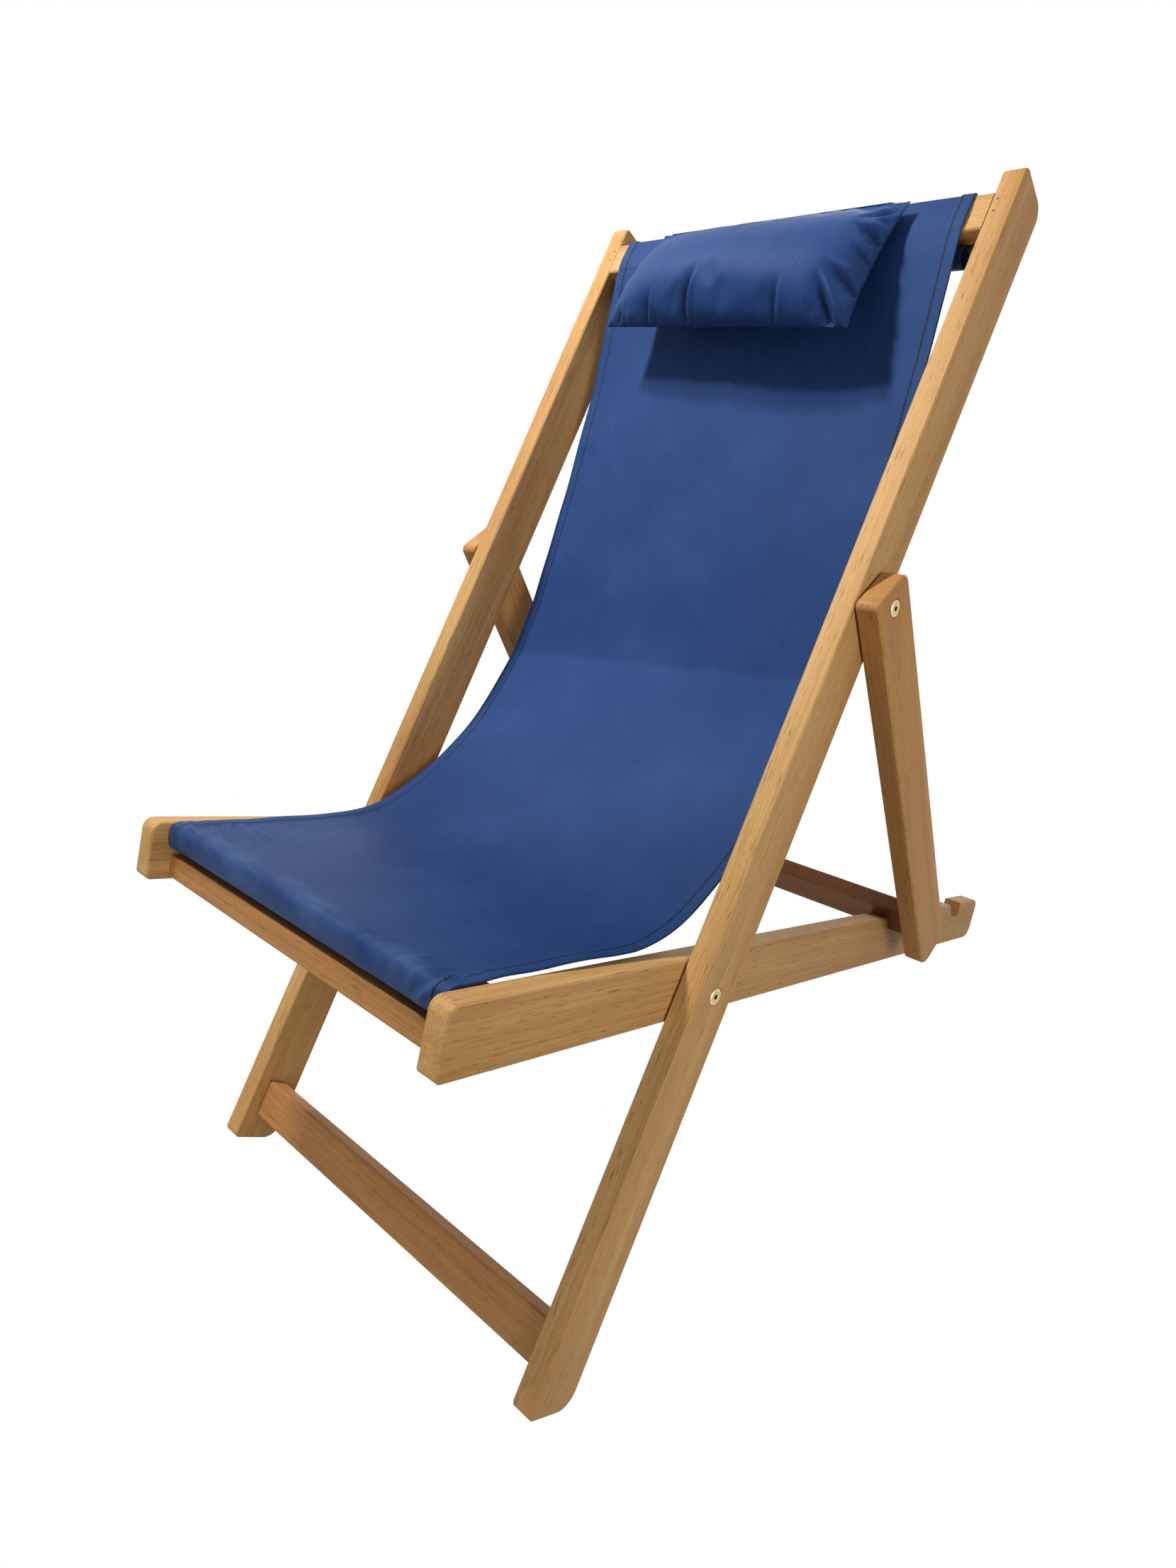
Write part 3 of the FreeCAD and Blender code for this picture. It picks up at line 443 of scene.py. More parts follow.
# %% [markdown]
# The sling's side view is one line: a loop round the top dowel, up the slit,
# over the top slat, down through the free curve, over the seat bar's round
# nose and back to the second dowel. A cloth simulation could hang it, but the
# photograph shows the free curve well enough to draw it. It is a chain of arcs
# whose lengths are the cloth's real lengths, so the flat size of the cloth is
# simply their sum.

# %% Walking along the sling's line
BEND_STEP = math.radians(9)


def ahead(spot, heading, length, turn):
    """Where an arc of the given length and turn ends, and its heading there."""
    chord = 2 * length / turn * math.sin(turn / 2) if turn else length
    way = heading + turn / 2
    end = Vector((0, spot.y + chord * math.cos(way), spot.z + chord * math.sin(way)))
    return end, heading + turn


def bend(radius, degrees):
    """Length and turn of an arc."""
    return radius * abs(math.radians(degrees)), math.radians(degrees)


def walk(spot, heading, runs):
    """Place and heading at the end of a chain of arcs."""
    for length, turn in runs:
        spot, heading = ahead(spot, heading, length, turn)
    return spot, heading


def side_line(spot, heading, runs, steps):
    """Stations (distance, spot, heading) along runs, a step apart and closer in bends."""
    stations = [(0.0, spot, heading)]
    gone = 0.0
    for (length, turn), step in zip(runs, steps):
        count = max(1, math.ceil(length / step), math.ceil(abs(turn) / BEND_STEP))
        for _ in range(count):
            spot, heading = ahead(spot, heading, length / count, turn / count)
            gone += length / count
            stations.append((gone, spot, heading))
    return stations


# %% Sizes along the sling's line
# The free curve: length in mm and turn in degrees of each arc
SLING_RUNS = [(230, -6.4), (219, -4.4), (172, -21.2), (178, -25.3), (91, -32.0)]
SLING_DROP = math.radians(18.0)
CLOTH = 1.2 * MM
AIR = 0.3 * MM
OFF_WOOD = AIR + CLOTH / 2
SLAT_ROUND = 3 * MM
SLAT_THICK = 22 * MM
SLAT_WIDE = 43.3 * MM
TOP_SLAT_X = 1242 * MM
TOP_SLIT = 8 * MM
TOP_DOWEL_X = TOP_SLAT_X - 10.8 * MM
DOWEL = 9 * MM
BAR_AT = 21 * MM
BAR_THICK = 25 * MM
BAR_SETBACK = 2 * MM
BAR_ROUND = 8 * MM
BAR_FOOT = BAR_SETBACK + BAR_THICK
LOWER_SLAT_SETBACK = 35 * MM
SEAT_DOWEL_X = 80.3 * MM
HEM_TURN = math.radians(350)
HEM_STATIONS = 30
AIM_ROUNDS = 12
TOP_STEP = 4 * MM
FREE_STEP = 6 * MM
NOSE_STEP = 3 * MM

# %% The sling's line
hem_round = DOWEL + OFF_WOOD
slat_bend = SLAT_ROUND + OFF_WOOD
bar_bend = BAR_ROUND + OFF_WOOD
top_dowel = rail.place(TOP_DOWEL_X, SLAT_THICK + TOP_SLIT / 2)
seat_slit = LOWER_SLAT_SETBACK - BAR_FOOT
seat_dowel = seat.place(SEAT_DOWEL_X, BAR_FOOT + seat_slit / 2)
neck = math.sqrt(hem_round**2 - (TOP_SLIT / 2 - OFF_WOOD) ** 2)
slit_run = TOP_SLAT_X + SLAT_WIDE - SLAT_ROUND - TOP_DOWEL_X - neck
over_top = [
    (slit_run, 0),
    bend(slat_bend, 90),
    (SLAT_THICK - 2 * SLAT_ROUND, 0),
    bend(slat_bend, 90),
    (SLAT_WIDE - 2 * SLAT_ROUND, 0),
    (slat_bend * SLING_DROP, SLING_DROP),
]
free = [(length * MM, math.radians(turn)) for length, turn in SLING_RUNS]
neck_spot = rail.place(TOP_DOWEL_X + neck, SLAT_THICK + OFF_WOOD)
neck_heading = rail.heading(1, 0)
nose = seat.place(BAR_AT + BAR_ROUND, BAR_SETBACK + BAR_ROUND)

# The last arc turns until the cloth meets the bar's nose at a tangent
for _ in range(AIM_ROUNDS):
    spot, heading = walk(neck_spot, neck_heading, over_top + free)
    gap = nose - spot
    bearing = math.atan2(gap.z, gap.y) - math.asin(bar_bend / gap.length)
    kink = (bearing - heading + math.pi) % (2 * math.pi) - math.pi
    free[-1] = (free[-1][0], free[-1][1] + kink)
last_free = math.sqrt(gap.length_squared - bar_bend**2)
bar_turn = (seat.heading(0, 1) - bearing) % (2 * math.pi)
seat_neck = math.sqrt(hem_round**2 - (seat_slit / 2 - OFF_WOOD) ** 2)
round_nose = [
    (bar_turn * bar_bend, bar_turn),
    (BAR_THICK - 2 * BAR_ROUND, 0),
    bend(bar_bend, 90),
    (SEAT_DOWEL_X - seat_neck - BAR_AT - BAR_ROUND, 0),
]
sling_runs = over_top + free + [(last_free, 0)] + round_nose
print("last bend", round(math.degrees(free[-1][1]), 2), "kink", kink)


# %% The sling's line with its hems
def hem_loop(centre, neck_at):
    """Most of a turn of cloth round a dowel, from its sewn end to the neck."""
    start = math.atan2(neck_at.z - centre.z, neck_at.y - centre.y)
    stations = []
    for i in range(HEM_STATIONS):
        angle = start - HEM_TURN * (1 - i / HEM_STATIONS)
        spot = centre + Vector((0, math.cos(angle), math.sin(angle))) * hem_round
        stations.append((spot, angle + math.pi / 2))
    return stations


step_sizes = [TOP_STEP] * len(over_top) + [FREE_STEP] * (len(free) - 1)
step_sizes += [NOSE_STEP] * (2 + len(round_nose))
middle_line = side_line(neck_spot, neck_heading, sling_runs, step_sizes)
end_spot = middle_line[-1][1]
loop_length = hem_round * HEM_TURN
line = []
for i, (spot, way) in enumerate(hem_loop(top_dowel, neck_spot)):
    line.append((loop_length * i / HEM_STATIONS, spot, way))
line += [(loop_length + gone, spot, way) for gone, spot, way in middle_line]
top_of_seat_loop = line[-1][0]
for i, (spot, way) in enumerate(reversed(hem_loop(seat_dowel, end_spot)), start=1):
    gone = top_of_seat_loop + loop_length * i / HEM_STATIONS
    line.append((gone, spot, way + math.pi))

# %% [markdown]
# The canvas is cut 471 mm wide and is a little narrower where it passes
# between the seat rails. Its side hems are folded under and sewn 12 mm from
# the edge, so the edge is twice as thick and the stitching pulls the cloth
# down in small puckers. At the seat's front the hems bunch into soft folds,
# where the cloth is drawn in over the bar. All of that is one height over the
# sling's line, given by the place across and along the cloth. Sculpting could
# do it too, but a height can be asked for again where the stitches lie on it.

# %% Sizes of the canvas
SLING_HALF = 235.5 * MM
NOSE_HALF = 227 * MM
NARROW_TO = seat.place(75 * MM, 0).y
WIDE_FROM = seat.place(240 * MM, 0).y
HEM_WIDE = 12 * MM
DOUBLE_TO = 1.08 * HEM_WIDE
SINGLE_FROM = 1.35 * HEM_WIDE
TOP_OF_CURVE = loop_length + sum(length for length, _ in over_top)
END_OF_CURVE = TOP_OF_CURVE + sum(length for length, _ in free) + last_free
# Stretches over which the cloth comes loose from the slat and settles on the bar
LOOSENS = (TOP_OF_CURVE + 10 * MM, TOP_OF_CURVE + 90 * MM)
SETTLES = (END_OF_CURVE - 70 * MM, END_OF_CURVE - 5 * MM)

# Folds at the front bar's ends: side (1 is the sitter's left), place in from
# the edge and past the bar, heading from the way in to the way round the bar,
# length and height in mm
FOLDS = [
    (-1, 8, -62, 14, 95, 1.6),
    (-1, 14, -44, 22, 80, 2.2),
    (-1, 10, -26, 16, 120, 1.8),
    (-1, 4, -10, 30, 60, 2.4),
    (-1, 30, -70, 5, 60, 1.2),
    (1, 6, -14, 62, 46, 3.4),
    (1, 30, -20, 70, 44, 2.6),
    (1, 18, -42, 28, 60, 2.0),
    (1, 58, -16, 78, 38, 2.2),
    (1, 8, 8, 35, 40, 2.6),
    (1, 96, -18, 60, 40, 1.6),
]
FOLD_WIDE = 4.5 * MM
# Shares of a fold's length over which it grows and fades
FOLD_GROWS = (-0.2, 0.2)
FOLD_FADES = (0.4, 1.2)
# The valley beside its crest: place aside in fold widths, depth and sharpness
VALLEY_AT = 1.5
VALLEY_DEEP = 0.6
VALLEY_SHARP = 1.4
# Widths aside at which nothing is left of a fold or tuck
GONE_ASIDE = 4

# Pressed crease across the back, where the sling was folded for packing
CREASE_AT = 677 * MM
CREASE_SKEW = -0.1
CREASE_DEEP = 1.1 * MM
CREASE_REACH = 14 * MM

# The seam's valley and its puckers
SEAM_WIDE = 1.7 * MM
SEAM_DEEP = 1.2 * MM
PUCKER_HIGH = 0.5 * MM
PUCKERS_PER_M = 130
PUCKERS_INWARD = 40

# How the cloth lifts off below the top slat's corner
LIFT_HIGH = 3.3 * MM
LIFT_REACH = 45 * MM
CORNER_DEEP = 3.1 * MM
CORNER_REACH = 20 * MM

# Waves in the free cloth, its rolled edges, and lumps on the bar
WAVE_HIGH = 2.4 * MM
WAVES_ACROSS = 8
WAVES_ALONG = 4.5
ROLL_HIGH = 1.8 * MM
ROLL_VARIES = 2.2 * MM
ROLL_REACH = 34 * MM
ROLLS_PER_M = 14
LUMPS_AT = 8 * MM
LUMPS_REACH = 20 * MM
LUMPS_ACROSS = 30
LUMPS_ALONG = 24
LUMP_BASE = 1.0 * MM
LUMP_HIGH = 2.6 * MM
LUMPS_SHARE = 0.15
DEEPEST = 4 * MM

# %% Height of the canvas over its line


def share(low, high, value):
    """How far a value is on its way from low to high, from 0 to 1."""
    return min(1.0, max(0.0, (value - low) / (high - low)))


def smooth(low, high, value):
    part = share(low, high, value)
    return part * part * (3 - 2 * part)


def between(grows, fades, value):
    """Strength that grows to 1 over one stretch and fades to 0 over another."""
    return smooth(*grows, value) * (1 - smooth(*fades, value))


def half_width(spot):
    return NOSE_HALF + (SLING_HALF - NOSE_HALF) * share(NARROW_TO, WIDE_FROM, spot.y)


def loose(gone):
    """1 where the cloth hangs free and 0 where it lies on wood."""
    return between(LOOSENS, SETTLES, gone)


def hem_part(inward):
    """1 on the double hem and 0 on the single cloth."""
    return 1 - smooth(DOUBLE_TO, SINGLE_FROM, inward)


def folds_at(side, inward, past):
    """Height of the folds at the front bar's ends, at a place in from the edge and past the bar."""
    height = 0.0
    for end, where, out, heading, long, high in FOLDS:
        if end == side:
            way = math.radians(heading)
            gap_in, gap_past = inward - where * MM, past - out * MM
            along = (gap_in * math.cos(way) + gap_past * math.sin(way)) / (long * MM)
            aside = (gap_in * math.sin(way) - gap_past * math.cos(way)) / FOLD_WIDE
            # A crest with a valley on one side of it, which fades at both ends
            if FOLD_GROWS[0] < along < FOLD_FADES[1] and abs(aside) < GONE_ASIDE:
                fade = between(FOLD_GROWS, FOLD_FADES, along)
                valley = VALLEY_DEEP * math.exp(-((aside - VALLEY_AT) ** 2) * VALLEY_SHARP)
                height += high * MM * fade * (math.exp(-aside * aside) - valley)
    return height


def canvas_height(x, half, gone):
    """How far the canvas stands over its line at a place across and along it."""
    inward = half - abs(x)
    hangs = loose(gone)
    side = math.copysign(1.0, x)
    height = CLOTH / 2 * hem_part(inward)

    # The thread pulls the hem down in small puckers
    seam = math.exp(-(((inward - HEM_WIDE) / SEAM_WIDE) ** 2))
    pucker = noise.noise(Vector((side * 7, gone * PUCKERS_PER_M, inward * PUCKERS_INWARD)))
    height += seam * (PUCKER_HIGH * pucker - SEAM_DEEP) * hangs

    off = gone - TOP_OF_CURVE
    lift = LIFT_HIGH * math.exp(-((off / LIFT_REACH) ** 2))
    lift -= CORNER_DEEP * math.exp(-abs(off) / CORNER_REACH)
    height += lift * smooth(-40 * MM, -12 * MM, off)

    # Slow waves in the free cloth, and edges that roll up a little
    wave = noise.noise(Vector((x * WAVES_ACROSS, gone * WAVES_ALONG, 2.0)))
    height += hangs * WAVE_HIGH * wave
    roll = noise.noise(Vector((side * 3, gone * ROLLS_PER_M, 5.0)))
    height += hangs * math.exp(-inward / ROLL_REACH) * (ROLL_HIGH + ROLL_VARIES * roll)

    crease = abs(gone - CREASE_AT - CREASE_SKEW * x)
    height -= CREASE_DEEP * math.exp(-crease / CREASE_REACH)

    # The cloth gathers in folds at the front bar's ends, and lumps lie on the bar
    past = gone - END_OF_CURVE
    height += folds_at(side, inward, past)
    lump = noise.noise(Vector((x * LUMPS_ACROSS, gone * LUMPS_ALONG, 9.0)))
    on_bar = math.exp(-(((past - LUMPS_AT) / LUMPS_REACH) ** 2))
    height += on_bar * (LUMP_BASE + LUMP_HIGH * max(0.0, lump + LUMPS_SHARE))
    return max(height, -DEEPEST * hangs)


print("free cloth from", round(TOP_OF_CURVE, 3), "to", round(END_OF_CURVE, 3), "m")

# %% [markdown]
# The mesh is a grid: stations along the line, columns across that crowd
# towards the hems. UV coordinates are the place on the cloth in metres, so the
# weave has its true size everywhere. Solidify gives the canvas its thickness.

# %% The sling's mesh
COLUMNS = 110
CROWDING = 0.8


def places_over(count, crowding=0):
    """Places from -1 to 1 over a cloth, closer together at its edges by the crowding."""
    even = [2 * i / count - 1 for i in range(count + 1)]
    return [(1 - crowding) * e + crowding * math.sin(e * math.pi / 2) for e in even]


def as_cloth(mesh, uvs):
    """Shade a mesh smooth, and map each vertex to its place on the flat cloth."""
    mesh.polygons.foreach_set("use_smooth", [True] * len(mesh.polygons))
    layer = mesh.uv_layers.new(name="cloth")
    for loop in mesh.loops:
        layer.data[loop.index].uv = uvs[loop.vertex_index]


def mesh_object(name, verts, faces, uvs=None):
    mesh = bpy.data.meshes.new(name)
    mesh.from_pydata(verts, [], faces)
    mesh.update()
    if uvs:
        as_cloth(mesh, uvs)
    return put(name, mesh)


def grid_faces(rows, columns):
    """Faces of a grid whose points run along one row after the other."""
    return [
        (r * columns + c, r * columns + c + 1, (r + 1) * columns + c + 1, (r + 1) * columns + c)
        for r in range(rows - 1)
        for c in range(columns - 1)
    ]


def over_line(station, x, more=0.0):
    """Point on the canvas at x across it, or a little more over its line."""
    gone, spot, way = station
    height = canvas_height(x, half_width(spot), gone) + more
    return Vector((x, spot.y, spot.z)) + Vector((0, math.sin(way), -math.cos(way))) * height


places = places_over(COLUMNS, CROWDING)
row = len(places)
verts = [over_line(station, place * half_width(station[1])) for station in line for place in places]
uvs = [(place * SLING_HALF, station[0]) for station in line for place in places]
faces = grid_faces(len(line), row)
sling = mesh_object("canvas_sling", verts, faces, uvs)
hem_group = sling.vertex_groups.new(name="double_cloth")
for r, (_, spot, _) in enumerate(line):
    half = half_width(spot)
    for c, place in enumerate(places):
        part = hem_part(half * (1 - abs(place)))
        hem_group.add([r * row + c], 0.5 + 0.5 * part, "REPLACE")
thick = sling.modifiers.new("canvas", "SOLIDIFY")
thick.thickness = 2 * CLOTH
thick.vertex_group = hem_group.name
thick.offset = 0
print("sling mesh", len(faces), "faces; top", round(max(v.z for v in verts), 4))

# %% [markdown]
# Navy canvas is a plain weave of thick threads: fine ribs run along the cloth,
# crossed by finer picks, with a light satin sheen where the threads lie flat.
# Light and shade are painted into its colour too: a little unevenly lighter on
# the leaning back, and darker on the seat. The weave is two sine waves over the
# cloth's own UV, and noise gives it slubs and soft blotches. The rest is added
# in steps over that colour: painted light and shade along the sling, painted
# sheen and wear over the bar, and painted shade along the hem lines and in the
# tucks.

# %% Painted light and shade, sheen and wear on the canvas
# Band of painted sheen and wear where the cloth lies over the bar's nose
NOSE_SHEEN_AT = END_OF_CURVE + 4 * MM
NOSE_SHEEN_WIDE = 34 * MM
# Patches of painted sheen and wear on the bar's nose are about 70 mm wide and
# 30 mm long
PATCHES_PER_M = (14.0, 34.0, 1.0)
# Painted shade in the groove along each hem's sewn line: its place, and the widths at which it is full
# and gone
HEM_LINE_AT = SLING_HALF - HEM_WIDE - 0.2 * MM
HEM_LINE_CORE = 0.4 * MM
HEM_LINE_WIDE = 2.1 * MM
# Painted light and shade along the cloth: places in metres between which they
# change, and the brightness after each: towards the crease, at it, and on the
# seat
PAINTED_LIGHT_CHANGES = (
    (0.34, 0.62, 1.05),
    (CREASE_AT - 1.5 * MM, CREASE_AT + 3 * MM, 1.12),
    (0.76, 1.0, 0.7),
)


def painted_light_along(tree, across, along, base):
    """Painted light and shade: the cloth is lighter towards the crease on the back, more below it, and
    darker on the seat.
    """
    past = add(tree, "Math", "MULTIPLY_ADD", in0=across, in1=-CREASE_SKEW, in2=along)
    tone = 1.0
    for start, end, after in PAINTED_LIGHT_CHANGES:
        change = add(
            tree,
            "MapRange",
            {"interpolation_type": "SMOOTHSTEP"},
            Value=past,
            From_Min=start,
            From_Max=end,
            To_Min=1.0,
            To_Max=after,
        )
        tone = add(tree, "Math", "MULTIPLY", in0=tone, in1=change)
    return add(tree, "VectorMath", "SCALE", in0=base, Scale=tone)


def nose_sheen_and_wear(tree, along, cloth_uv, base):
    """Painted sheen and wear: paler cloth in a band across the sling, in patches, where it lies over
    the bar.
    """
    band = stripe(tree, along, NOSE_SHEEN_AT, 0.0, NOSE_SHEEN_WIDE, 1.0)
    patches_at = add(tree, "Mapping", Vector=cloth_uv, Scale=PATCHES_PER_M)
    patches = add(tree, "TexNoise", Vector=patches_at, Scale=1.0, Detail=4.0)
    patchy = add(tree, "MapRange", Value=patches, From_Min=0.38, From_Max=0.7, To_Max=0.27)
    worn = add(tree, "Math", "MULTIPLY", in0=band, in1=patchy)
    # Paler blue of the painted sheen and the wear
    return add(tree, "Mix", {"data_type": "RGBA"}, Factor=worn, A=base, B=colour("#55719F"))


def hem_line_shade(tree, across, base):
    """Painted shade: a dark line in the groove where each side hem is drawn in by its thread."""
    side = add(tree, "Math", "ABSOLUTE", in0=across)
    mark = stripe(tree, side, HEM_LINE_AT, HEM_LINE_CORE, HEM_LINE_WIDE, 0.85)
    return add(tree, "Mix", {"data_type": "RGBA"}, Factor=mark, A=base, B=colour("#080D20"))


def painted_tuck_shade(tree, base):
    """Painted shade inside the tucks, where the mesh says they are."""
    inside = add(tree, "Attribute", {"attribute_name": "tucks"}).outputs["Fac"]
    shaded = add(tree, "MapRange", Value=inside, From_Min=0.1, From_Max=0.9, To_Max=0.8)
    return add(tree, "Mix", {"data_type": "RGBA"}, Factor=shaded, A=base, B=colour("#0A1024"))


# %% Navy canvas
# Real threads are about 0.6 mm apart. These are two to three times as coarse, so
# that they show in the picture
RIBS_PER_M = 520
PICKS_PER_M = 760
# Slubs are 1.5 mm wide and 45 mm long, faded blotches about 140 mm across
SLUBS_PER_M = (650.0, 22.0, 1.0)
BLOTCHES_PER_M = 7.0
NAVY = ("#1E3868", "#233E6E", "#294577")


def woven(name, worn=False, tucks=False):
    """Navy canvas: the sling's with painted light, sheen and shade and with wear, the pillow's with
    painted shade in its tucks.
    """
    material, tree = new_tree(bpy.data.materials, name)
    cloth_uv = add(tree, "UVMap", {"uv_map": "cloth"})
    split = add(tree, "SeparateXYZ", Vector=cloth_uv)
    across, along = split.outputs["X"], split.outputs["Y"]

    def threads(place, per_m):
        whole = per_m * 2 * math.pi
        turns = add(tree, "Math", "MULTIPLY", in0=place, in1=whole)
        return add(tree, "Math", "SINE", in0=turns)

    rib = threads(across, RIBS_PER_M)
    pick = threads(along, PICKS_PER_M)
    crossing = add(tree, "Math", "MULTIPLY", in0=rib, in1=pick)
    weave = add(tree, "Math", "MULTIPLY_ADD", in0=crossing, in1=0.45, in2=rib)
    slubs_at = add(tree, "Mapping", Vector=cloth_uv, Scale=SLUBS_PER_M)
    slubs = add(tree, "TexNoise", Vector=slubs_at, Scale=1.0, Detail=2.0)
    faded = add(tree, "TexNoise", Vector=cloth_uv, Scale=BLOTCHES_PER_M, Detail=4.0, Roughness=0.6)
    tone = add(tree, "ValToRGB", {"stops": list(zip((0.3, 0.52, 0.72), NAVY))}, Fac=faded)
    shaded = add(tree, "MapRange", Value=slubs, From_Min=0.35, From_Max=0.65, To_Min=0.93, To_Max=1.06)
    thread = add(tree, "MapRange", Value=weave, From_Min=-1.4, From_Max=1.4, To_Min=0.86, To_Max=1.1)
    both = add(tree, "Math", "MULTIPLY", in0=shaded, in1=thread)
    base = add(tree, "VectorMath", "SCALE", in0=tone, Scale=both)
    # The sling's canvas takes painted light and shade, painted sheen and wear, and painted shade along
    # its hems
    if worn:
        base = painted_light_along(tree, across, along, base)
        base = nose_sheen_and_wear(tree, along, cloth_uv, base)
        base = hem_line_shade(tree, across, base)
    # The pillow's canvas takes painted shade in its tucks
    if tucks:
        base = painted_tuck_shade(tree, base)
    rough = add(tree, "MapRange", Value=slubs, From_Min=0.3, From_Max=0.7, To_Min=0.44, To_Max=0.58)
    shader = add(
        tree,
        "BsdfPrincipled",
        Base_Color=base,
        Roughness=rough,
        Normal=add(tree, "Bump", Height=weave, Strength=0.35, Distance=0.25 * MM),
        Specular_IOR_Level=0.16,
        Specular_Tint=colour("#A8BEE8"),
        Sheen_Weight=0.04,
        Sheen_Roughness=0.4,
        Sheen_Tint=colour("#9DB6DC"),
    )
    add(tree, "OutputMaterial", Surface=shader)
    return material


canvas = woven("navy_canvas")
sling_canvas = woven("navy_canvas_painted_light", worn=True)
pillow_canvas = woven("navy_canvas_tuck_shaded", tucks=True)
sling.data.materials.append(sling_canvas)
print("canvas with", RIBS_PER_M, "ribs and", PICKS_PER_M, "picks to a metre")

# %% [markdown]
# The side hems are sewn with dark thread, a stitch about every four
# millimetres. On a real chair a lockstitch machine does it in one long run, so
# here one line of points follows the hem on the cloth and Geometry Nodes set a
# stitch on it again and again. The group's inputs are the stitch's sizes.

# %% Stitching
STITCH_LONG = 3.6 * MM
STITCH_GAP = 0.9 * MM
THREAD = 0.85 * MM
# The thread's strands are about 0.6 mm apart, coarser than real ones
STRANDS_PER_M = 1800.0


def stitch_group(material):
    """Geometry Nodes that lay stitches along the edges of a mesh."""
    group = bpy.data.node_groups.new("stitches", "GeometryNodeTree")
    sockets = group.interface
    sockets.new_socket("Geometry", in_out="INPUT", socket_type="NodeSocketGeometry")
    for name, value in (("Stitch", STITCH_LONG), ("Gap", STITCH_GAP), ("Thread", THREAD)):
        socket = sockets.new_socket(name, in_out="INPUT", socket_type="NodeSocketFloat")
        socket.default_value = value
    sockets.new_socket("Geometry", in_out="OUTPUT", socket_type="NodeSocketGeometry")
    start = group.nodes.new("NodeGroupInput").outputs
    step = add(group, "Math", "ADD", in0=start["Stitch"], in1=start["Gap"])
    run = add(group, "GeometryNodeMeshToCurve", Mesh=start["Geometry"])
    spaced = add(group, "GeometryNodeResampleCurve", {"mode": "LENGTH"}, Curve=run, Length=step)
    tangent = add(group, "GeometryNodeInputTangent")
    facing = add(group, "FunctionNodeAlignRotationToVector", {"axis": "Z"}, Vector=tangent)
    half = add(group, "Math", "DIVIDE", in0=start["Stitch"], in1=2.0)
    size = add(group, "CombineXYZ", X=start["Thread"], Y=start["Thread"], Z=half)
    bead = add(group, "GeometryNodeMeshUVSphere", Segments=8, Rings=6, Radius=1.0)
    laid = add(
        group, "GeometryNodeInstanceOnPoints", Points=spaced, Instance=bead, Rotation=facing, Scale=size
    )
    real = add(group, "GeometryNodeRealizeInstances", Geometry=laid)
    dressed = add(group, "GeometryNodeSetMaterial", Geometry=real, Material=material)
    add(group, "NodeGroupOutput", in0=dressed)
    return group


navy_thread = speckled("navy_thread", ("#070B1C", "#101833"), STRANDS_PER_M, Roughness=0.6)
stitches = stitch_group(navy_thread)


def plain(source, name):
    """Plain mesh object of an object with its modifiers."""
    graph = bpy.context.evaluated_depsgraph_get()
    mesh = bpy.data.meshes.new_from_object(source.evaluated_get(graph), depsgraph=graph)
    mesh.name = name
    return put(name, mesh)


def sewn(name, paths):
    """Stitches along paths of points, as one plain mesh."""
    verts = [point for path in paths for point in path]
    edges = []
    first = 0
    for path in paths:
        edges += [(first + i, first + i + 1) for i in range(len(path) - 1)]
        first += len(path)
    mesh = bpy.data.meshes.new(name + "_path")
    mesh.from_pydata(verts, edges, [])
    path_object = put(name + "_path", mesh)
    path_object.modifiers.new("stitches", "NODES").node_group = stitches
    made = plain(path_object, name)
    bpy.data.objects.remove(path_object)
    return made


def hem_path(side):
    """Points on top of the canvas along the sewn line of a side hem."""
    points = []
    for station in line[HEM_STATIONS:-HEM_STATIONS]:
        x = side * (half_width(station[1]) - HEM_WIDE)
        points.append(over_line(station, x, CLOTH - THREAD / 3))
    return points


hem_stitches = sewn("hem_stitches", [hem_path(1), hem_path(-1)])
print("hem stitches", len(hem_stitches.data.polygons), "faces")

# %% [markdown]
# The pillow is two panels of the same canvas sewn at the edge and stuffed. It
# starts as a crowned form in its own flat frame: x across, y down from the top
# seam, z towards the sitter. A short cloth simulation blows it up inside its
# seam, which makes the puckers that a stuffed edge has.

# %% The pillow's starting form
PILLOW_WIDE = 338 * MM
PILLOW_TALL = 162 * MM
PILLOW_FRONT = 42 * MM
PILLOW_BACK = 18 * MM
PILLOW_WAIST = 8 * MM
LOWER_WAIST = 2.5 * MM
PILLOW_DROP = 6 * MM
PILLOW_TILT = math.radians(6)
START_FULL = 1.1
FULLEST_AT = 0.6
# Powers of the crown's curve to the top seam, the lower seam and the ends
TOP_POWER = 0.9
LOWER_POWER = 0.48
ENDS_POWER = 3.2
LUMP = 1.5 * MM
LUMPS_PER_M = 24
PILLOW_COLUMNS = 76
PILLOW_ROWS = 40
PILLOW_CROWDING = 0.35
lean = BACK_ANGLE - PILLOW_TILT
pillow_down = Vector((0, -math.cos(lean), -math.sin(lean)))
pillow_out = Vector((0, -math.sin(lean), math.cos(lean)))
pillow_frame = Matrix((Vector((-1, 0, 0)), pillow_down, pillow_out)).transposed().to_4x4()
pillow_frame.translation = Vector((0, pillow_hinge.y, pillow_hinge.z))


def pillow_edge(u, v):
    """Flat place in the pillow for u, v from -1 to 1, with sides drawn in."""
    tall = (PILLOW_TALL - PILLOW_DROP) / 2
    x = u * (PILLOW_WIDE / 2 - PILLOW_WAIST * (1 - v * v) * abs(u))
    y = PILLOW_DROP + tall + v * (tall - LOWER_WAIST * (1 - u * u) * max(0.0, v))
    return x, y


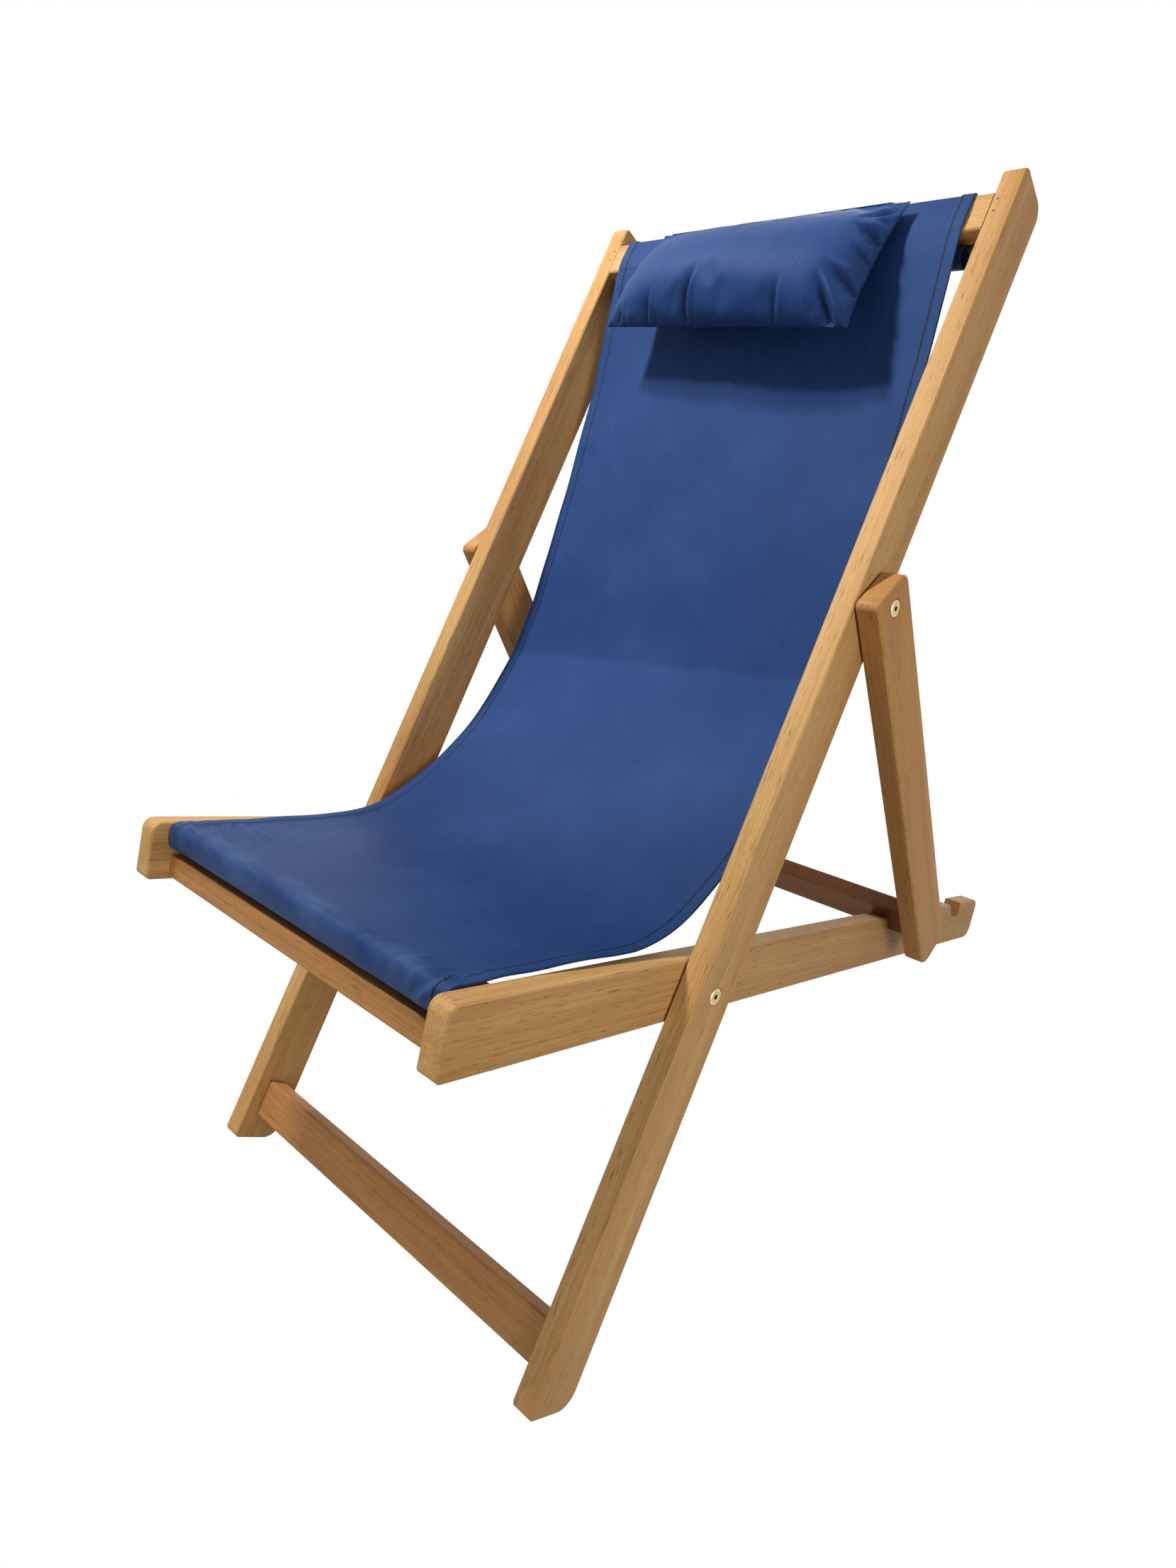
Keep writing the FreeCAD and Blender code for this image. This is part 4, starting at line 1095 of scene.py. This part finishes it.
def pillow_point(u, v, side):
    """Crowned start of the pillow, with lumps in the filling to seed its puckers."""
    x, y = pillow_edge(u, v)
    down = (v + 1) / 2
    if down < FULLEST_AT:
        profile = math.sin(math.pi / 2 * down / FULLEST_AT) ** TOP_POWER
    else:
        profile = (1 - ((down - FULLEST_AT) / (1 - FULLEST_AT)) ** 2) ** LOWER_POWER
    full = math.sqrt(1 - abs(u) ** ENDS_POWER) * profile
    crown = (PILLOW_FRONT if side > 0 else PILLOW_BACK) * START_FULL
    lumps = noise.noise(Vector((x * LUMPS_PER_M, y * LUMPS_PER_M, side * 4.0))) * LUMP
    return Vector((x, y, side * (crown + lumps) * full))


def on_seam(r, c):
    return r in (0, PILLOW_ROWS) or c in (0, PILLOW_COLUMNS)


def pillow_mesh():
    """Closed grid of front and back, welded along the seam."""
    build = bmesh.new()
    grids = {}
    across = places_over(PILLOW_COLUMNS, PILLOW_CROWDING)
    down = places_over(PILLOW_ROWS, PILLOW_CROWDING)
    places = [(r, c) for r in range(PILLOW_ROWS + 1) for c in range(PILLOW_COLUMNS + 1)]
    for side in (1, -1):
        for r, c in places:
            if side < 0 and on_seam(r, c):
                grids[side, r, c] = grids[1, r, c]
                continue
            grids[side, r, c] = build.verts.new(pillow_point(across[c], down[r], side))
    for side in (1, -1):
        for r in range(PILLOW_ROWS):
            for c in range(PILLOW_COLUMNS):
                corners = [grids[side, r, c], grids[side, r, c + 1]]
                corners += [grids[side, r + 1, c + 1], grids[side, r + 1, c]]
                build.faces.new(corners if side > 0 else corners[::-1])
    build.normal_update()
    build.verts.index_update()
    seam = sorted(grids[1, r, c].index for r, c in places if on_seam(r, c))
    mesh = bpy.data.meshes.new("head_pillow_canvas")
    build.to_mesh(mesh)
    build.free()
    return mesh, seam


pillow_data, seam_verts = pillow_mesh()
as_cloth(pillow_data, [vertex.co.xy for vertex in pillow_data.vertices])
cushion = put("head_pillow_canvas", pillow_data)
cushion.data.materials.append(pillow_canvas)
print("pillow", len(pillow_data.vertices), "points,", len(seam_verts), "on the seam")

# %% [markdown]
# Stuffing: the seam is held and the cloth is cut larger than the held outline,
# so pressure from inside lifts the panels and gathers them into puckers at the
# seam. The run is short and always gives the same result. No point may move
# further than a cap, and the back stays where it rests on the sling.

# %% Stuffing the pillow
STUFF_FRAMES = 24
SPARE_CLOTH = 0.006
FRONT_CAP = 15 * MM
BACK_CAP = 3 * MM
# The cap is a small share of that at the top seam, where the flap holds the
# cloth, and whole from this share of the pillow's height down
TOP_SHARE = 0.15
WHOLE_FROM = 0.5
STUFFING = {
    "quality": 7,
    "mass": 0.2,
    "tension_stiffness": 18,
    "compression_stiffness": 18,
    "shear_stiffness": 6,
    "bending_stiffness": 5,
    "use_pressure": True,
    "uniform_pressure_force": 6,
    "shrink_min": -SPARE_CLOTH,
    "vertex_group_mass": "seam",
}


def stuff(obj, seam):
    """Blow a closed canvas form up inside its seam with a short cloth run."""
    before = [vertex.co.copy() for vertex in obj.data.vertices]
    group = obj.vertex_groups.new(name="seam")
    group.add(seam, 1.0, "REPLACE")
    run = obj.modifiers.new("stuffing", "CLOTH")
    for name, value in STUFFING.items():
        setattr(run.settings, name, value)
    run.settings.effector_weights.gravity = 0
    run.collision_settings.use_collision = False
    run.point_cache.frame_end = STUFF_FRAMES
    scene = bpy.context.scene
    for frame_number in range(1, STUFF_FRAMES + 1):
        scene.frame_set(frame_number)
    graph = bpy.context.evaluated_depsgraph_get()
    after = [vertex.co.copy() for vertex in obj.evaluated_get(graph).data.vertices]
    obj.modifiers.remove(run)
    scene.frame_set(1)
    furthest = 0.0
    for vertex, old, new in zip(obj.data.vertices, before, after):
        move = new - old
        room = TOP_SHARE + (1 - TOP_SHARE) * smooth(0, WHOLE_FROM, old.y / PILLOW_TALL)
        cap = FRONT_CAP * room if old.z > 0 else BACK_CAP
        furthest = max(furthest, move.length)
        vertex.co = old + move * min(1.0, cap / max(move.length, 1e-9))
    obj.data.update()
    print("stuffing moved points by up to", round(furthest / MM, 1), "mm")


stuff(cushion, seam_verts)

# %% [markdown]
# The photographed pillow has a few deep tucks besides: along its lower seam
# and towards its right-hand end, where the filling pulls the cloth into the
# corner. Each tuck is a valley between two low ridges that starts on the seam
# and fades inwards, with shade painted inside it. A cloth simulation would put
# such tucks anywhere, so they are drawn in after it. The pillow also hangs a
# little askew from its flap, with its right-hand end sunk back towards the sling.

# %% Tucks of the pillow
# Each tuck: place on the pillow (across, down, from -1 to 1), heading in
# degrees from the way across to the way down, length and depth in mm, bow
TUCKS = [
    (0.8, 1.0, -98, 16, 4.0, 0.8),
    (0.6, 1.0, -120, 30, 9.0, 1.6),
    (0.24, 1.0, -97, 50, 13.0, -1.8),
    (-0.48, 1.0, -104, 34, 8.0, 1.2),
    (-0.9, 1.0, -60, 54, 15.0, 1.3),
    (-1.0, 0.52, -30, 42, 11.0, 1.0),
    (-1.0, 0.02, -8, 20, 8.0, -1.0),
    (-1.0, -0.26, -34, 38, 12.0, 1.4),
    (-1.0, -0.62, 12, 20, 5.0, 1.0),
    (-0.99, -0.9, 42, 52, 6.0, -1.0),
    (1.0, 0.3, 185, 24, 7.0, 1.2),
    (1.0, -0.35, 172, 20, 6.0, -1.2),
    (0.88, 1.0, -128, 22, 7.0, 1.0),
]
TUCK_WIDE = 4.8 * MM
# Widths at a tuck's seam end, and how many of them it has lost at its tip
SEAM_END = 1.25
TIP_LOSS = 0.6
TUCK_GROWS = (-0.3, 0.15)
TUCK_FADES = (0.35, 1.0)
# One wall is steep and the other gentle, with a low ridge beside it
STEEP_WALL = 1.9
GENTLE_WALL = 0.62
RIDGE_AT = 1.5
RIDGE_WIDE = 0.8
RIDGE_HIGH = 0.42
# How sharply the painted shade fades from a tuck's valley, and the depth at which it is full
SHADE_SHARP = 1.5
FULL_SHADE_DEEP = 10 * MM
TUCK_FULL_AT = 9 * MM
THINNEST = 0.3 * MM


def tucks_at(spot):
    """How far the tucks draw a place on the pillow's front in, and how much shade is painted there."""
    depth = 0.0
    shade = 0.0
    for u, v, heading, long, deep, bow in TUCKS:
        x, y = pillow_edge(u, v)
        way = Vector((math.cos(math.radians(heading)), math.sin(math.radians(heading))))
        gap = Vector((spot.x - x, spot.y - y))
        along = gap.dot(way) / (long * MM)
        wide = TUCK_WIDE * (SEAM_END - TIP_LOSS * max(along, 0))
        aside = (gap.x * way.y - gap.y * way.x) / wide + bow * along * along
        if TUCK_GROWS[0] < along < TUCK_FADES[1] and abs(aside) < GONE_ASIDE:
            fade = between(TUCK_GROWS, TUCK_FADES, along)
            wall = STEEP_WALL * aside if aside > 0 else -GENTLE_WALL * aside
            ridge = RIDGE_HIGH * math.exp(-(((aside - RIDGE_AT) / RIDGE_WIDE) ** 2))
            depth += deep * MM * fade * (math.exp(-wall) - ridge)
            # Painted shade in the tuck's valley, fuller in deeper tucks
            dark = min(1.0, deep * MM / FULL_SHADE_DEEP)
            shade = max(shade, fade * math.exp(-SHADE_SHARP * wall) * dark)
    return depth, shade


finer = cushion.modifiers.new("finer_cloth", "SUBSURF")
finer.levels = 1
finer.render_levels = 1
stuffed = plain(cushion, "stuffed_pillow")
bpy.data.objects.remove(cushion)
cushion = stuffed
cushion.name = "head_pillow_canvas"

# %% Pulling the tucks in and hanging the pillow
HANG_SHIFT = 11.2 * MM
HANG_TURN = 12.5 * MM
HANG_MIDDLE = 0.14
HANG_SPREAD = 6 * MM
HANG_BACK = 11 * MM

# The painted shade of the tucks is kept on the mesh for the pillow's canvas
shading = cushion.data.attributes.new("tucks", "FLOAT", "POINT")
for vertex in cushion.data.vertices:
    spot = vertex.co
    if spot.z > 0:
        depth, shade = tucks_at(spot)
        spot.z = max(THINNEST, spot.z - depth * min(1.0, spot.z / TUCK_FULL_AT))
        shading.data[vertex.index].value = shade
    down = spot.y / PILLOW_TALL
    across = spot.x / (PILLOW_WIDE / 2)
    bent = HANG_BACK * down * max(0.0, -across) ** 2
    spot.z -= bent
    spot.y -= bent
    spot.x += HANG_SHIFT * (down - 0.5) + HANG_SPREAD * down * max(0.0, across)
    spot.y -= HANG_TURN * down * (across - HANG_MIDDLE)

cushion.data.transform(pillow_frame)
cushion.data.update()
print("pillow's top", round(max(vertex.co.z for vertex in cushion.data.vertices), 4))

# %% [markdown]
# The pillow's flap starts on its top seam, goes over the sling's top edge and
# down into the slit, where it is caught between the slats. It is the same
# canvas, a little wider than the pillow's middle.

# %% The pillow's flap
FLAP_HALF = 150 * MM
FLAP_TAIL = 22 * MM
SEWN_IN = 1.2 * MM
FLAP_STEP = 1.5 * MM
FLAP_COLUMNS = 60
ON_SLING = AIR + 1.5 * CLOTH + AIR
flap_bend = SLAT_ROUND + ON_SLING
slat_top = TOP_SLAT_X + SLAT_WIDE - SLAT_ROUND
seam_spot = pillow_frame @ Vector((0, PILLOW_DROP, 0))
gap = rail.place(slat_top, SLAT_ROUND) - seam_spot
flap_heading = math.atan2(gap.z, gap.y) + math.asin(flap_bend / gap.length)
flap_way = Vector((0, math.cos(flap_heading), math.sin(flap_heading)))
first_turn = rail.heading(0, 1) - flap_heading
flap_runs = [
    (math.sqrt(gap.length_squared - flap_bend**2) + SEWN_IN, 0),
    (flap_bend * abs(first_turn), first_turn),
    (SLAT_THICK - 2 * SLAT_ROUND, 0),
    bend(flap_bend, -90),
    (FLAP_TAIL, 0),
]
flap_start = seam_spot - flap_way * SEWN_IN
flap_line = side_line(flap_start, flap_heading, flap_runs, [FLAP_STEP] * len(flap_runs))
flap_places = places_over(FLAP_COLUMNS)
verts = [Vector((p * FLAP_HALF, s.y, s.z)) for _, s, _ in flap_line for p in flap_places]
uvs = [(p * FLAP_HALF, gone) for gone, _, _ in flap_line for p in flap_places]
flap = mesh_object("canvas_flap", verts, grid_faces(len(flap_line), len(flap_places)), uvs)
thick = flap.modifiers.new("canvas", "SOLIDIFY")
thick.thickness = CLOTH
thick.offset = 0
flap.data.materials.append(canvas)
print("flap", round(flap_line[-1][0], 4), "m long")

# %% [markdown]
# A pale, seamless floor, two small lamps over the chair and three soft lights
# round it stand in for the photograph's bright studio. Floor and sky look white
# to the camera and in shiny surfaces. For all other light the floor is a warm
# grey and the sky is dim, which keeps the shadows as deep as the photograph's.

# %% Floor and sky
FLOOR_HALF = 30.0
SKY = 0.24


def seen_directly(tree):
    """One for what the camera sees, also in shiny and clear surfaces."""
    path = add(tree, "LightPath")
    seen = path.outputs["Is Camera Ray"]
    for kind in ("Is Glossy Ray", "Is Transmission Ray"):
        seen = add(tree, "Math", "MAXIMUM", in0=seen, in1=path.outputs[kind])
    return seen


def floor_material():
    material, tree = new_tree(bpy.data.materials, "pale_floor")
    grey = add(tree, "BsdfDiffuse", Color=colour("#735A3E"))
    white = add(tree, "Emission", Color=colour("#FFFFFF"))
    mixed = add(tree, "MixShader", in0=seen_directly(tree), in1=grey, in2=white)
    add(tree, "OutputMaterial", Surface=mixed)
    return material


def studio_world():
    """White behind the chair for the camera, and a dim sky for the light."""
    world, tree = new_tree(bpy.data.worlds, "studio")
    sky = add(tree, "Background", Color=colour("#E9EEF6"), Strength=SKY)
    white = add(tree, "Background", Color=colour("#FFFFFF"), Strength=1.0)
    mixed = add(tree, "MixShader", in0=seen_directly(tree), in1=sky, in2=white)
    add(tree, "OutputWorld", Surface=mixed)
    return world


corners = [(-FLOOR_HALF, -FLOOR_HALF, 0), (FLOOR_HALF, -FLOOR_HALF, 0)]
corners += [(FLOOR_HALF, FLOOR_HALF, 0), (-FLOOR_HALF, FLOOR_HALF, 0)]
floor = mesh_object("floor", corners, [(0, 1, 2, 3)])
floor.data.materials.append(floor_material())
bpy.context.scene.world = studio_world()
print("floor", 2 * FLOOR_HALF, "m wide")

# %% Lamps
# Place, width in metres and watts of each lamp
LAMPS = {
    "ceiling_near": ((-0.7, -0.5, 2.2), 0.16, 19),
    "ceiling_far": ((-0.56, -0.25, 2.2), 0.16, 19),
    "front_low": ((0.0, -1.6, 0.2), 0.8, 5.6),
    "right": ((2.6, -0.8, 1.0), 1.6, 34),
    "behind": ((-0.3, 2.4, 1.5), 1.4, 26),
}
middle = (cad_low + cad_high) / 2
for name, (place, size, watts) in LAMPS.items():
    light = bpy.data.lights.new(name, "AREA")
    light.shape = "SQUARE"
    light.size = size
    light.energy = watts
    lamp = put(name, light)
    lamp.location = place
    lamp.rotation_euler = (middle - Vector(place)).to_track_quat("-Z", "Y").to_euler()
bpy.context.scene.view_settings.view_transform = "Standard"
print(len(LAMPS), "lamps")

# %% [markdown]
# Last, each canvas piece takes the place of its plain solid, and the pillow rides
# with its part of the chair.

# %% Handing over
for piece in (sling, hem_stitches):
    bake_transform(piece)
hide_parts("sling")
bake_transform(flap)
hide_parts("pillow_flap")
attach(cushion, "pillow")
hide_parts("head_pillow")
